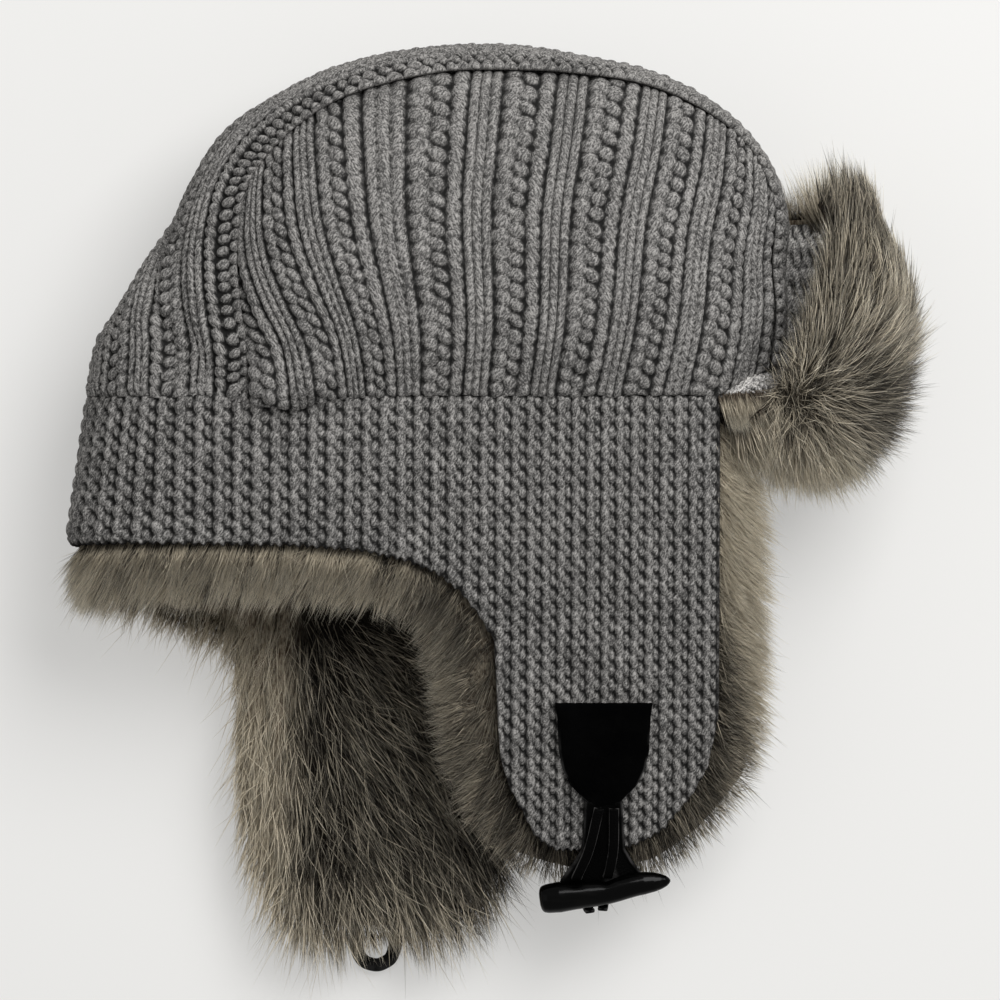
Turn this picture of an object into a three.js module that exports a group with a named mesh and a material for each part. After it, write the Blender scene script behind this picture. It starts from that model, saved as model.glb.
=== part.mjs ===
// A lined knit hat with ear flaps, a turned-up front flap and a toggle, lying on its left side.
// Millimetres. +Z is up from the surface that it lies on and points out of the hat's right side,
// +X is the hat's front and +Y its top. The near side is the hat's right, the far side its left.
import * as THREE from 'three';

// Driving dimensions
const WALL = 4.4; // thickness of the knitting
const SEAM_THINNING = 0.3; // share of that thickness left where an edge turns in to a seam
const GAP = 0.3; // clearance between neighbouring pieces
const RIB_PERIOD = 27; // smooth group and textured group of the crown's ribs
const RIDGE_PITCH = 8; // garter ridges of the band and flaps
const CROWN_SEAM_Y = 46; // where the crown is sewn to the band, on the near side
const FAR_SEAM_DROP = 16; // how much lower that seam lies on the far side
const SHELL_LENGTH = 476; // round the back, from the near flap's front edge to the far flap's
const FLAP_WIDTH = 91;
const NAPE_DEPTH = 59;
const FLAP_DEPTH = 182;
const TOP_SEAM_Z = 78; // height of the near seam over the surface
const CROWN_PILLOW = 15; // how far the near panel crowns up between its seams
const SEAM_TUCK = 2.6; // how far that panel's edge lies under the strip's
const PLEAT_RISE = 5; // the gathers over the band, below the near seam's back end
const NEAR_FLAP_DROOP = 52; // how far the near flap's tip sinks below the band
const NAPE_FLARE = 8; // how far the nape stands out behind the crown seam
const FAR_FLAP_SHEAR = 10; // how far the far flap's tip lies behind its top
const FAR_FRONT_LIFT = 12; // the far flap's front corner, lifted by the pile that it lies on
const REST_PRESS = 0.4; // what lies this low is pressed flat on the surface
const FAR_TIP_LIFT = 3.4; // the far flap's knitting over the patch that it lies on
const PILE = 20; // depth of the pile in the lining
const FRONT_PILE = 25; // depth of the pile on the front flap
const PRESSED_PILE = 12.8; // the same pile where the crown lies on it
const LOCK_RELIEF = 2.2; // how far the locks stand over the valleys between them
const LOCK_REACH = 4; // how far the tips of the locks stand out at the edges
const PATCH_WIDTH = 39;
const PATCH_LENGTH = 42;
const PATCH_THICKNESS = 1.5;
const TOGGLE_LENGTH = 53;
const TOGGLE_RADIUS = 6.2;
const TOGGLE_FLATNESS = 0.86; // its height over its width
const STRAP_WIDTH = 4;
const STRAP_THICKNESS = 1.8;
const LOOP_CORD = 5.4;
const RIDGE_RELIEF = 0.9; // crest or hollow of a garter ridge from the wall's middle

// Colours
const KNIT_GREY = 0x6e6d6c;
const FUR_TAUPE = 0x7b7468;
const SUEDE_BLACK = 0x0d0d0d;
const LEATHER_BLACK = 0x131211;
const HORN_BLACK = 0x080808;

const half = WALL / 2;
const lerp = THREE.MathUtils.lerp;
const ramp = (x, from, to) => THREE.MathUtils.smoothstep(x, from, to);

function vector(x, y, z) {
  return new THREE.Vector3(x, y, z);
}

// A smooth curve through the rows of a table of x, y and z
function curve(rows) {
  return new THREE.CatmullRomCurve3(rows.map((row) => vector(...row)), false, 'centripetal');
}

// A function of one value that runs straight between the rows of a table, whose first column is
// that value
function table(rows) {
  const columns = rows[0].length - 1;
  return (x) => {
    const last = rows.length - 1;
    let k = 0;
    while (k < last - 1 && x > rows[k + 1][0]) k += 1;
    const part = THREE.MathUtils.clamp((x - rows[k][0]) / (rows[k + 1][0] - rows[k][0]), 0, 1);
    return Array.from({ length: columns }, (_, c) => lerp(rows[k][c + 1], rows[k + 1][c + 1], part));
  };
}

// The outward normal of a surface of two parameters, by small differences
function normalOf(surface, u, v) {
  const step = 1e-3;
  const u0 = Math.max(u - step, 0);
  const u1 = Math.min(u + step, 1);
  const v0 = Math.max(v - step, 0);
  const v1 = Math.min(v + step, 1);
  const along = surface(u1, v).sub(surface(u0, v));
  const across = surface(u, v1).sub(surface(u, v0));
  return along.cross(across).normalize();
}

// Joins two runs of vertices that start and end together, each vertex with its place along the run
function zip(outer, inner, faces) {
  let i = 0;
  let j = 0;
  while (i < outer.length - 1 || j < inner.length - 1) {
    const innerDone = j === inner.length - 1;
    const outerNext = i < outer.length - 1 && (innerDone || outer[i + 1].at <= inner[j + 1].at + 1e-9);
    if (outerNext) {
      faces.push(outer[i + 1].index, outer[i].index, inner[j].index);
      i += 1;
    } else {
      faces.push(outer[i].index, inner[j].index, inner[j + 1].index);
      j += 1;
    }
  }
}

// The rim of a grid of vertices, in order round its four sides
function rimOf(first, across, down) {
  const [columns, rows] = [across.length - 1, down.length - 1];
  const rim = [];
  const add = (c, r, at) => rim.push({ index: first + r * (columns + 1) + c, at });
  for (let c = 0; c < columns; c += 1) add(c, 0, across[c]);
  for (let r = 0; r < rows; r += 1) add(columns, r, 1 + down[r]);
  for (let c = columns; c > 0; c -= 1) add(c, rows, 3 - across[c]);
  for (let r = rows; r >= 0; r -= 1) add(0, r, 4 - down[r]);
  return rim;
}

const evenly = (count) => Array.from({ length: count + 1 }, (_, k) => k / count);

// A closed body between a front surface and a back surface, each on its own grid
function slab(front, back, { across, down, backAcross = across, backDown = down }) {
  const points = [];
  const faces = [];
  const grid = (surface, us, vs, turned) => {
    const first = points.length / 3;
    vs.forEach((v, r) => us.forEach((u, c) => points.push(...surface(u, v, c, r).toArray())));
    for (let r = 0; r < vs.length - 1; r += 1) {
      for (let c = 0; c < us.length - 1; c += 1) {
        const a = first + r * us.length + c;
        const [b, d] = [a + 1, a + us.length];
        if (turned) faces.push(a, d, d + 1, a, d + 1, b);
        else faces.push(a, b, d + 1, a, d + 1, d);
      }
    }
    return first;
  };
  const frontFirst = grid(front, across, down, false);
  const backFirst = grid(back, backAcross, backDown, true);
  zip(rimOf(frontFirst, across, down), rimOf(backFirst, backAcross, backDown), faces);
  const geometry = new THREE.BufferGeometry();
  geometry.setAttribute('position', new THREE.Float32BufferAttribute(points, 3));
  geometry.setIndex(faces);
  return geometry;
}

// A wall about a middle surface, thinner along the edges that turn in to a seam, with relief on its
// outer face: seams gives the width of that turned-in edge at each of the four sides
function wall(surface, counts, relief = () => 0, seams = [0, 0, 0, 0]) {
  const edge = (distance, width) => (width ? lerp(SEAM_THINNING, 1, ramp(distance, 0, width)) : 1);
  const face = (side) => (u, v, c, r) => {
    const [left, right, low, high] = seams;
    const thin = Math.min(edge(u, left), edge(1 - u, right), edge(v, low), edge(1 - v, high));
    const lift = side * half * thin + (side > 0 ? relief(u, v, c, r) : 0);
    return surface(u, v).addScaledVector(normalOf(surface, u, v), lift);
  };
  return slab(face(1), face(-1), counts);
}

// Flattens knitting where it rests on the surface below
function rest(geometry) {
  const place = geometry.getAttribute('position');
  for (let k = 0; k < place.count; k += 1) {
    if (place.getZ(k) < REST_PRESS) place.setZ(k, 0);
  }
  return geometry;
}

// A body swept along a curve: section(t) gives its half width, half depth and turn at each step
function sweep(path, steps, sides, section, up = vector(0, 0, 1)) {
  const points = [];
  const faces = [];
  for (let k = 0; k <= steps; k += 1) {
    const t = k / steps;
    const centre = path.getPointAt(t);
    const along = path.getTangentAt(t);
    const across = along.clone().cross(up).normalize();
    const over = across.clone().cross(along).normalize();
    const { wide, deep } = section(t);
    for (let s = 0; s < sides; s += 1) {
      const angle = (2 * Math.PI * (s + 0.5)) / sides;
      const point = centre.clone().addScaledVector(across, wide * Math.cos(angle));
      points.push(...point.addScaledVector(over, deep * Math.sin(angle)).toArray());
    }
  }
  for (let k = 0; k < steps; k += 1) {
    for (let s = 0; s < sides; s += 1) {
      const [a, b] = [k * sides + s, k * sides + ((s + 1) % sides)];
      faces.push(a, b + sides, b, a, a + sides, b + sides);
    }
  }
  for (let s = 1; s < sides - 1; s += 1) {
    const last = steps * sides;
    faces.push(0, s, s + 1, last, last + s + 1, last + s);
  }
  const geometry = new THREE.BufferGeometry();
  geometry.setAttribute('position', new THREE.Float32BufferAttribute(points, 3));
  geometry.setIndex(faces);
  return geometry;
}

function piece(name, geometry, color, roughness) {
  geometry.computeVertexNormals();
  const mesh = new THREE.Mesh(geometry, new THREE.MeshStandardMaterial({ color, roughness, metalness: 0 }));
  mesh.name = name;
  return mesh;
}

// The band's cross-section where the crown is sewn on, as x and height, from the near flap's front
// edge round the back to the far flap's, and on past both edges for the lining's rim
const RIM_ROOM = 26;
const section = curve([
  [88 + RIM_ROOM, 0, 82],
  [88, 0, 86],
  [60, 0, 90.5],
  [10, 0, 93],
  [-50, 0, 93.5],
  [-100, 0, 91.5],
  [-130, 0, 85.5],
  [-150, 0, 73.5],
  [-160.5, 0, 58],
  [-162.5, 0, 44],
  [-160.5, 0, 28],
  [-152, 0, 13],
  [-136, 0, 5],
  [-110, 0, half],
  [-60, 0, half],
  [7, 0, half],
  [7 + RIM_ROOM, 0, half],
]);
const sectionLength = section.getLength();
const sectionSpare = sectionLength - SHELL_LENGTH - 2 * RIM_ROOM;

// A point of the band and flaps: s along the crown seam from the near front edge, t down from it
function shellPoint(s, t) {
  const at = (s + RIM_ROOM) * (1 + sectionSpare / (SHELL_LENGTH + 2 * RIM_ROOM));
  const point = section.getPointAt(THREE.MathUtils.clamp(at / sectionLength, 0, 1));
  const nearSide = 1 - ramp(s, 190, 255);
  const farSide = ramp(s, 300, 385);
  const back = ramp(s, 205, 265) * (1 - ramp(s, 265, 330));
  const fall = Math.max(0, t - 25) / (FLAP_DEPTH - 25);
  point.z -= nearSide * NEAR_FLAP_DROOP * Math.pow(fall, 1.5) / (1 + 0.12 * fall);
  point.z += farSide * FAR_FRONT_LIFT * (1 - ramp(t, 5, 70)) * ramp(s, 395, 470);
  point.z += farSide * FAR_TIP_LIFT * ramp(t, 70, 100);
  point.x -= NAPE_FLARE * back * Math.min(1, Math.max(0, t) / 55);
  point.x -= farSide * FAR_FLAP_SHEAR * Math.pow(Math.max(0, t) / FLAP_DEPTH, 1.5);
  point.y = seamHeight(s) - t;
  return point;
}

function seamHeight(s) {
  return CROWN_SEAM_Y - FAR_SEAM_DROP * ramp(s, 265, 410);
}

// How far the band and flaps reach down from the crown seam, by the distance from a front edge
const edgeDepth = table([
  [0, 126],
  [2, 138],
  [5, 150],
  [11, 160],
  [17, 167],
  [23, 174],
  [32, 179],
  [40, FLAP_DEPTH],
  [66, FLAP_DEPTH],
  [74, 177],
  [80, 166],
  [86, 154],
  [89, 142],
  [FLAP_WIDTH, 98],
  [97, 88],
  [104, 79],
  [114, 71],
  [126, 66],
  [144, 62],
  [170, 60],
  [SHELL_LENGTH / 2, NAPE_DEPTH],
]);

// Where the inner face of the band has its columns, from a front edge to the middle of the back
const BAND_STOPS = [
  0, 5, 17, 32, 53, 72, 82, 89, 92, 98, 112, 128, 142, 152, 162, 172, 182, 192, 204, 216, 227, 238,
];

function bandSurface(u, v) {
  const s = u * SHELL_LENGTH;
  const [depth] = edgeDepth(Math.min(s, SHELL_LENGTH - s));
  return shellPoint(s, lerp(GAP / 2, depth, v));
}

// Garter ridges run down the band: one crest and one hollow to each pitch
function ridges(u, v, c) {
  const fade = Math.min(1, 8 * v + 0.2, 8 * (1 - v) + 0.2);
  return (c % 2 ? 1 : -1) * RIDGE_RELIEF * fade;
}

function makeFlapBand() {
  const columns = 2 * Math.round(SHELL_LENGTH / RIDGE_PITCH);
  const near = BAND_STOPS.map((s) => s / SHELL_LENGTH);
  const backAcross = [...near, ...near.slice(0, -1).reverse().map((u) => 1 - u)];
  const counts = { across: evenly(columns), down: evenly(7), backAcross };
  return rest(wall(bandSurface, counts, ridges, [0, 0, 0.06, 0]));
}

// The crown's centre strip, row by row from the nape over the top to the forehead: the near seam,
// the ridge that makes the hat's outline as it lies, and the far seam
const STRIP = [
  // near x, y, z, ridge x, y, z, far x, y, z
  [-99, 46.2, 91.5, -162.2, 46.2, 46, -146, 43.4, 9],
  [-98.5, 62, 91, -158.5, 66, 47, -145, 60, 9],
  [-101, 77, 90, -151.5, 78, 47, -139, 76, 10],
  [-103, 95, 87, -140, 97, 48, -130, 92, 10],
  [-102.5, 112, 84, -129, 113, 48, -121, 107, 10],
  [-99.5, 127, 81, -121.5, 129, 48, -113, 122, 10],
  [-92, 140, TOP_SEAM_Z, -108, 150, 48, -101, 140, 10],
  [-79, 153, TOP_SEAM_Z, -86, 165, 48, -82, 154, 10],
  [-60, 164.5, TOP_SEAM_Z, -62, 176, 48, -58, 165, 10],
  [-23, 174, TOP_SEAM_Z, -28, 183, 48, -26, 171, 11],
  [5, 175, TOP_SEAM_Z, 6, 183.8, 48, 6, 170, 13],
  [32, 173.5, 77, 34, 179.5, 48, 30, 165, 17],
  [58, 169.5, 75, 61, 173.5, 48, 52, 156, 20],
  [79, 161, 73, 83, 163, 48, 68, 144, 23],
  [95, 150, 71, 99, 149.5, 48, 78, 132, 25],
  [105, 137, 70, 109.5, 134, 48, 84, 119, 26],
  [110.5, 119, 69, 114.5, 116, 48, 87, 103, 26],
  [109.5, 99, 69, 113.5, 97, 48, 88, 88, 26],
  [111, 79, 68, 114, 78, 48, 88, 73, 26],
  [109, 57, 67, 111.5, 55.5, 46, 86, 52, 24],
];
const column = (first) => curve(STRIP.map((row) => row.slice(first, first + 3)));
const nearSeam = column(0);
const stripRidge = column(3);
const farSeam = column(6);
const within = (t) => THREE.MathUtils.clamp(t, 0, 1);

// The share of the strip's width left free beside each seam, less at the near seam behind
const STRIP_INSET = 0.022;
const STRIP_BACK_INSET = 0.012;

// Each cross-section of the strip is two quarter ellipses that meet at the ridge
function stripSurface(u, v) {
  const [near, ridge, far] = [nearSeam, stripRidge, farSeam].map((line) => line.getPoint(within(u)));
  const nearInset = lerp(STRIP_BACK_INSET, STRIP_INSET, ramp(u, 0.35, 0.5));
  const w = lerp(nearInset, 1 - STRIP_INSET, v);
  const upper = w < 0.5;
  const seam = upper ? near : far;
  const turn = Math.PI * (upper ? w : 1 - w);
  const point = seam.clone().lerp(ridge, Math.sin(turn));
  point.z = ridge.z + (seam.z - ridge.z) * Math.cos(turn);
  return point;
}

// Two creases run up the strip from the band at the back, the second as far as the hat's outline:
// share along, and shares across of the first and second crease
const creases = table([
  [0, 0.06, 0.11],
  [0.09, 0.14, 0.2],
  [0.16, 0.22, 0.34],
  [0.22, 0.3, 0.46],
]);
const CREASE_DEPTH = 2.6;
const CREASE_WIDTH = 0.035;
const STRIP_ROWS = 12;

// Ribs along the strip, a hollow on each side of a raised group, and the creases over them
function stripRibs(u, v, c, r) {
  const fade = Math.min(1, 12 * u, 12 * (1 - u));
  const rib = (r % 3 === 0 ? -1.1 : 0.6) * (r === 0 || r === STRIP_ROWS ? 0 : 1);
  const strength = CREASE_DEPTH * (1 - ramp(u, 0.14, 0.24));
  const folds = creases(u).map((at) => Math.exp(-Math.pow((v - at) / CREASE_WIDTH, 2)));
  return fade * (rib - strength * Math.max(...folds));
}

function makeStrip() {
  const counts = {
    across: evenly(40),
    down: evenly(STRIP_ROWS),
    backAcross: evenly(20),
    backDown: evenly(STRIP_ROWS / 2),
  };
  return wall(stripSurface, counts, stripRibs, [0.02, 0.02, 0.08, 0.08]);
}

// A patch that fills four edges, each a curve of one parameter
function patch(bottom, top, left, right) {
  const corner = [bottom(0), bottom(1), top(0), top(1)];
  return (u, v) => {
    const ruled = bottom(u).multiplyScalar(1 - v).addScaledVector(top(u), v);
    ruled.addScaledVector(left(v), 1 - u).addScaledVector(right(v), u);
    ruled.addScaledVector(corner[0], -(1 - u) * (1 - v)).addScaledVector(corner[1], -u * (1 - v));
    return ruled.addScaledVector(corner[2], -(1 - u) * v).addScaledVector(corner[3], -u * v);
  };
}

// Where the side panels' corners lie along their seams, as shares of the strip's rows
const BACK_CORNER = 5.4 / 19;
const FRONT_CORNER = 15.3 / 19;

function seamEdges(seam) {
  return {
    left: (v) => seam.getPoint(lerp(0, BACK_CORNER, v)),
    top: (u) => seam.getPoint(lerp(BACK_CORNER, FRONT_CORNER, u)),
    right: (v) => seam.getPoint(lerp(1, FRONT_CORNER, v)),
  };
}

// Keeps a panel's edges a little inside the seams that it shares with its neighbours
function inset(surface, left, right, topBack, topFront) {
  const top = (u) => lerp(topBack, topFront, ramp(u, 0.35, 0.75));
  return (u, v) => surface(lerp(left, 1 - right, u), lerp(0.001, 1 - top(u), v));
}

// Gathers along the near panel's lower edge, by x and half width
const PLEATS = [[-88, 9], [-70, 8]];

function nearPanelSurface() {
  const { left, top, right } = seamEdges(nearSeam);
  const bottom = (u) => {
    const x = lerp(-99, 109, u);
    const point = shellPoint(88 - Math.min(x, 88), 0);
    point.x = x;
    point.y = CROWN_SEAM_Y + GAP / 2 + 10.8 * ramp(x, 84, 112);
    point.z = lerp(point.z, 67, ramp(x, 78, 109));
    return point;
  };
  const flat = patch(bottom, top, left, right);
  return (u, v) => {
    const point = flat(u, v);
    const sides = 1 - Math.pow(Math.abs(2 * u - 1), 4);
    point.z += CROWN_PILLOW * sides * (1 - Math.pow(Math.abs(2 * v - 1), 3));
    point.z -= SEAM_TUCK * Math.max(1 - ramp(u, 0, 0.05), ramp(v, 0.93, 1) * (1 - ramp(u, 0.5, 0.8)));
    const low = ramp(v, 0, 0.05) * (1 - ramp(v, 0.1, 0.5));
    for (const [at, width] of PLEATS) {
      point.z += PLEAT_RISE * low * Math.exp(-Math.pow((point.x - at) / width, 2));
    }
    return point;
  };
}

// Crown ribs: six columns to a period, with a hollow at each side of the smooth group, which
// starts half a group in from the back seam
function crownRibs(u, v, c) {
  const fade = Math.min(1, 9 * v, 9 * (1 - v), 9 * u, 9 * (1 - u));
  return (c % 3 === 1 ? -1.4 : 0.7) * fade;
}

function makeNearPanel() {
  const columns = 6 * Math.round(214 / RIB_PERIOD);
  const surface = inset(nearPanelSurface(), 0.006, 0.015, 0.012, 0.025);
  const counts = { across: evenly(columns), down: evenly(10), backAcross: evenly(columns / 4) };
  return wall(surface, counts, crownRibs, [0.04, 0.04, 0.05, 0.09]);
}

// The far panel lies flat on the surface behind and is carried by the front flap's pile in front
function farPanelSurface() {
  const { left, top, right } = seamEdges(farSeam);
  const bottom = (u) => {
    const x = lerp(-146, 86, u);
    const s = farSeamPlace(Math.min(x, 7));
    const level = lerp(half, 21, ramp(x, -50, 5));
    const z = lerp(9, level, ramp(x, -146, -110));
    return vector(x, seamHeight(s) + GAP / 2 + 21.5 * ramp(x, 30, 86), lerp(z, 24, ramp(x, 60, 86)));
  };
  const flat = patch(bottom, top, left, right);
  return (u, v) => {
    const point = flat(u, v);
    const level = lerp(half, 21, ramp(point.x, -50, 5) * (1 - ramp(point.y, 135, 160)));
    const inside = ramp(Math.min(u, 1 - u, 1 - v), 0, 0.22);
    point.z = lerp(point.z, level, inside);
    return point;
  };
}

// The place along the band's section that lies under a given x of the far side
function farSeamPlace(x) {
  return SHELL_LENGTH - (7 - x) * 1.01;
}

function makeFarPanel() {
  const surface = inset(farPanelSurface(), 0.008, 0.008, 0.012, 0.012);
  const turned = (u, v) => surface(1 - u, v);
  const counts = { across: evenly(20), down: evenly(8), backAcross: evenly(10) };
  return rest(wall(turned, counts, undefined, [0.05, 0.05, 0.08, 0.1]));
}

// The lining's columns of pile: from a place on the crown seam to a place on its own edge
const LINING = [
  // share along, top s, edge s, edge t
  [0, 3, -13, 34],
  [0.035, 6, -16, 60],
  [0.12, 16, -17, 138],
  [0.15, 24, -12, 160],
  [0.18, 32, 4, 180],
  [0.21, 42, 24, 194],
  [0.245, 54, 52, 199],
  [0.28, 66, 80, 193],
  [0.31, 76, 99, 175],
  [0.335, 86, 109, 150],
  [0.365, 96, 112, 116],
  [0.385, 108, 120, 95],
  [0.4, 122, 131, 85],
  [0.42, 146, 152, 81],
  [0.46, 188, 190, 80],
  [0.5, 238, 238, 79],
];
const liningRow = table(LINING);
const LINING_LOCKS = 60;
const LINING_TOP = 5;

function liningPlace(u, v, reach) {
  const mirrored = u > 0.5;
  const [top, edgeS, edgeT] = liningRow(mirrored ? 1 - u : u);
  const middle = vector(edgeS - top, edgeT - LINING_TOP, 0);
  const grown = 1 + reach / middle.length();
  const s = top + middle.x * grown * v;
  const t = LINING_TOP + middle.y * grown * v;
  return [mirrored ? SHELL_LENGTH - s : s, t];
}

// A point at a given depth under the band's outer face: the shell's normal points out of the hat
function underShell(s, t, depth) {
  const step = 0.5;
  const along = shellPoint(s + step, t).sub(shellPoint(s - step, t));
  const down = shellPoint(s, t + step).sub(shellPoint(s, t - step));
  const normal = along.cross(down).normalize();
  return shellPoint(s, t).addScaledVector(normal, -depth);
}

function makeLining() {
  const columns = 2 * LINING_LOCKS;
  const backing = (v) => half + 1.15 + 5 * Math.pow(v, 6);
  const pileSide = (u, v, c, r) => {
    const crest = (c + Math.floor(r / 2)) % 2 ? 1 : -1;
    const [s, t] = liningPlace(u, v, (c % 2 ? 1 : -1) * LOCK_REACH * v);
    const body = Math.min(1, 4 * v + 0.15) * (1 - 0.78 * Math.pow(v, 5));
    return underShell(s, t, backing(v) + PILE * body + crest * LOCK_RELIEF * body);
  };
  const backSide = (u, v) => {
    const [s, t] = liningPlace(u, v, -LOCK_REACH * v);
    return underShell(s, t, backing(v));
  };
  const counts = { across: evenly(columns), down: evenly(7), backAcross: evenly(columns / 3) };
  const flip = (surface) => (u, v, c, r) => surface(1 - u, v, columns - c, r);
  return slab(flip(pileSide), flip(backSide), counts);
}

// The front flap, turned up round the forehead, in sections from its near end to its far end: where
// it leaves the crown, its fold, its middle and its top edge
const FRONT_FLAP = [
  // share, root x, y, z, fold x, y, z, middle x, y, z, top x, y, z, pile
  [0, 94, 42, 83, 106, 38, 84, 123, 78, 85, 132, 113, 81, FRONT_PILE],
  [0.1, 105, 47, 76, 118, 34, 77, 137, 72, 79, 141, 116, 75, FRONT_PILE],
  [0.2, 112, 49, 65, 126, 33, 65, 143, 70, 66, 143, 117, 63, FRONT_PILE],
  [0.3, 114, 49, 50, 129, 32, 49, 146, 70, 49, 142, 117, 47, FRONT_PILE - 1],
  [0.4, 111, 48, 35, 124, 31, 33, 140, 70, 31, 137, 116, 30, 17],
  [0.5, 103, 41, 26, 111, 26, 20, 124, 71, 18, 123, 115, 18, 13],
  [0.6, 88, 20, 18, 92, 27, 16, 103, 72, 16, 106, 114, 16, PRESSED_PILE],
  [0.8, 50, 15, 16, 52, 23, 16, 57, 72, 16, 60, 112, 16, PRESSED_PILE],
  [1, 12, 13, 16, 12, 20, 16, 13, 70, 16, 14, 109, 16, PRESSED_PILE],
];
const flapLines = [1, 4, 7, 10].map((first) => curve(FRONT_FLAP.map((row) => row.slice(first, first + 3))));
const flapPile = table(FRONT_FLAP.map((row) => [row[0], row[13]]));

// Beyond its edges the surface runs straight on, for the pile that stands out there
function frontSurface(u, v) {
  const profile = new THREE.CatmullRomCurve3(flapLines.map((line) => line.getPoint(within(u))));
  const point = profile.getPoint(within(v));
  if (v < 0 || v > 1) {
    const past = v < 0 ? v : v - 1;
    point.addScaledVector(profile.getTangent(within(v)), past * profile.getLength());
  }
  return point;
}

const FRONT_COLUMNS = 20;
const FRONT_DOWN = [0, 0.1, 0.2, 0.3, 0.4, 0.55, 0.75, 1]; // rows, close together round the fold
const FRONT_SIDE_REACH = 20; // the most that the pile stands out past the flap's near end
// Share of that reach by the share up the pile: the knit backing shows over its middle
const sideReach = table([
  [0, 0.45],
  [0.25, 0.45],
  [0.5, 0.1],
  [0.85, 0.1],
  [1, 0.6],
]);

function frontOut(u, v) {
  const step = 2e-3;
  const along = frontSurface(u + step, v).sub(frontSurface(u - step, v));
  const up = frontSurface(u, v + step).sub(frontSurface(u, v - step));
  return along.cross(up).normalize();
}

function makeFrontKnit() {
  const face = (side) => (u, v) => {
    return frontSurface(u, v).addScaledVector(frontOut(u, v), side * half);
  };
  return slab(face(1), face(-1), { across: evenly(FRONT_COLUMNS), down: FRONT_DOWN });
}

function makeFrontFur() {
  const backing = half + 3 * GAP;
  const [from, to] = [FRONT_DOWN[2], 1.1]; // the pile starts at the fold, below the root
  const pileSide = (u, v, c, r) => {
    const [pile] = flapPile(u);
    const pressed = pile <= 13;
    const ends = Math.min(1, 1.6 * Math.sqrt(Math.max(0, 2 * Math.min(v, 1 - v))));
    const nearEnd = 1 - ramp(u, 0, 0.16);
    const crest = ((c + Math.floor(r / 2)) % 2 ? 1 : -1) * (pressed ? 0 : LOCK_RELIEF);
    const tip = v > 0.95 ? (c % 2 ? 0.03 : -0.02) : 0;
    const high = lerp(from - 0.03, 1.13, v) + tip;
    const base = frontSurface(u, high);
    const side = frontSurface(u + 0.01, within(high)).sub(frontSurface(u, within(high))).normalize();
    const [reach] = sideReach(v);
    base.addScaledVector(side, -FRONT_SIDE_REACH * nearEnd * reach);
    const deep = Math.max(0.6, (pile + crest) * ends * (1 - 0.55 * nearEnd));
    base.addScaledVector(frontOut(u, within(high)), backing + deep);
    base.z = Math.max(base.z, 0);
    return base;
  };
  const backSide = (u, v) => {
    const high = lerp(from, to, v);
    return frontSurface(u, high).addScaledVector(frontOut(u, within(high)), backing);
  };
  const counts = {
    across: evenly(2 * FRONT_COLUMNS),
    down: evenly(9),
    backAcross: evenly(FRONT_COLUMNS),
    backDown: [...FRONT_DOWN.filter((v) => v >= from), to].map((v) => (v - from) / (to - from)),
  };
  return slab(pileSide, backSide, counts);
}

// Half width of a suede patch by the share of its length from the top
const patchHalf = table([
  [0, 1],
  [0.12, 0.96],
  [0.45, 0.93],
  [0.62, 0.85],
  [0.78, 0.68],
  [0.9, 0.42],
  [1, 0.16],
]);
const ON_KNIT = half + RIDGE_RELIEF + GAP; // clear of the ridges' crests
const PATCH_TOP = 122; // from the crown seam down to the patch's top edge
const NEAR_PATCH_S = 47;
const FAR_PATCH_S = SHELL_LENGTH - 45;

function makePatch(middleS) {
  const face = (depth) => (u, v) => {
    const [wide] = patchHalf(v);
    const s = middleS + (u - 0.5) * PATCH_WIDTH * wide;
    return underShell(s, PATCH_TOP + v * PATCH_LENGTH, -depth);
  };
  return slab(face(ON_KNIT + PATCH_THICKNESS), face(ON_KNIT), { across: evenly(4), down: evenly(6) });
}

// The toggle's place, its axis along x
const TOGGLE = { x: 43.2, y: -152.5, z: 45, tilt: -0.15 };

function togglePath() {
  const reach = TOGGLE_LENGTH / 2;
  const along = vector(Math.cos(TOGGLE.tilt), -Math.sin(TOGGLE.tilt), 0);
  const middle = vector(TOGGLE.x, TOGGLE.y, TOGGLE.z);
  const bow = [0.5, 0.2, -0.4, 0.8, 0.3];
  const stops = [-1, -0.5, 0, 0.5, 1];
  return curve(stops.map((stop, k) => {
    const point = middle.clone().addScaledVector(along, reach * stop);
    return [point.x, point.y + bow[k], point.z];
  }));
}

// Thickness along the toggle, from its blunt end to its round tip
const toggleGirth = table([
  [0, 0.45],
  [0.015, 0.75],
  [0.05, 0.92],
  [0.15, 1],
  [0.3, 0.92],
  [0.5, 0.82],
  [0.7, 0.78],
  [0.8, 0.74],
  [0.88, 0.62],
  [0.95, 0.42],
  [1, 0.12],
]);

function makeToggle() {
  return sweep(togglePath(), 24, 8, (t) => {
    const [girth] = toggleGirth(t);
    return { wide: TOGGLE_RADIUS * girth, deep: TOGGLE_RADIUS * TOGGLE_FLATNESS * girth };
  });
}

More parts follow.
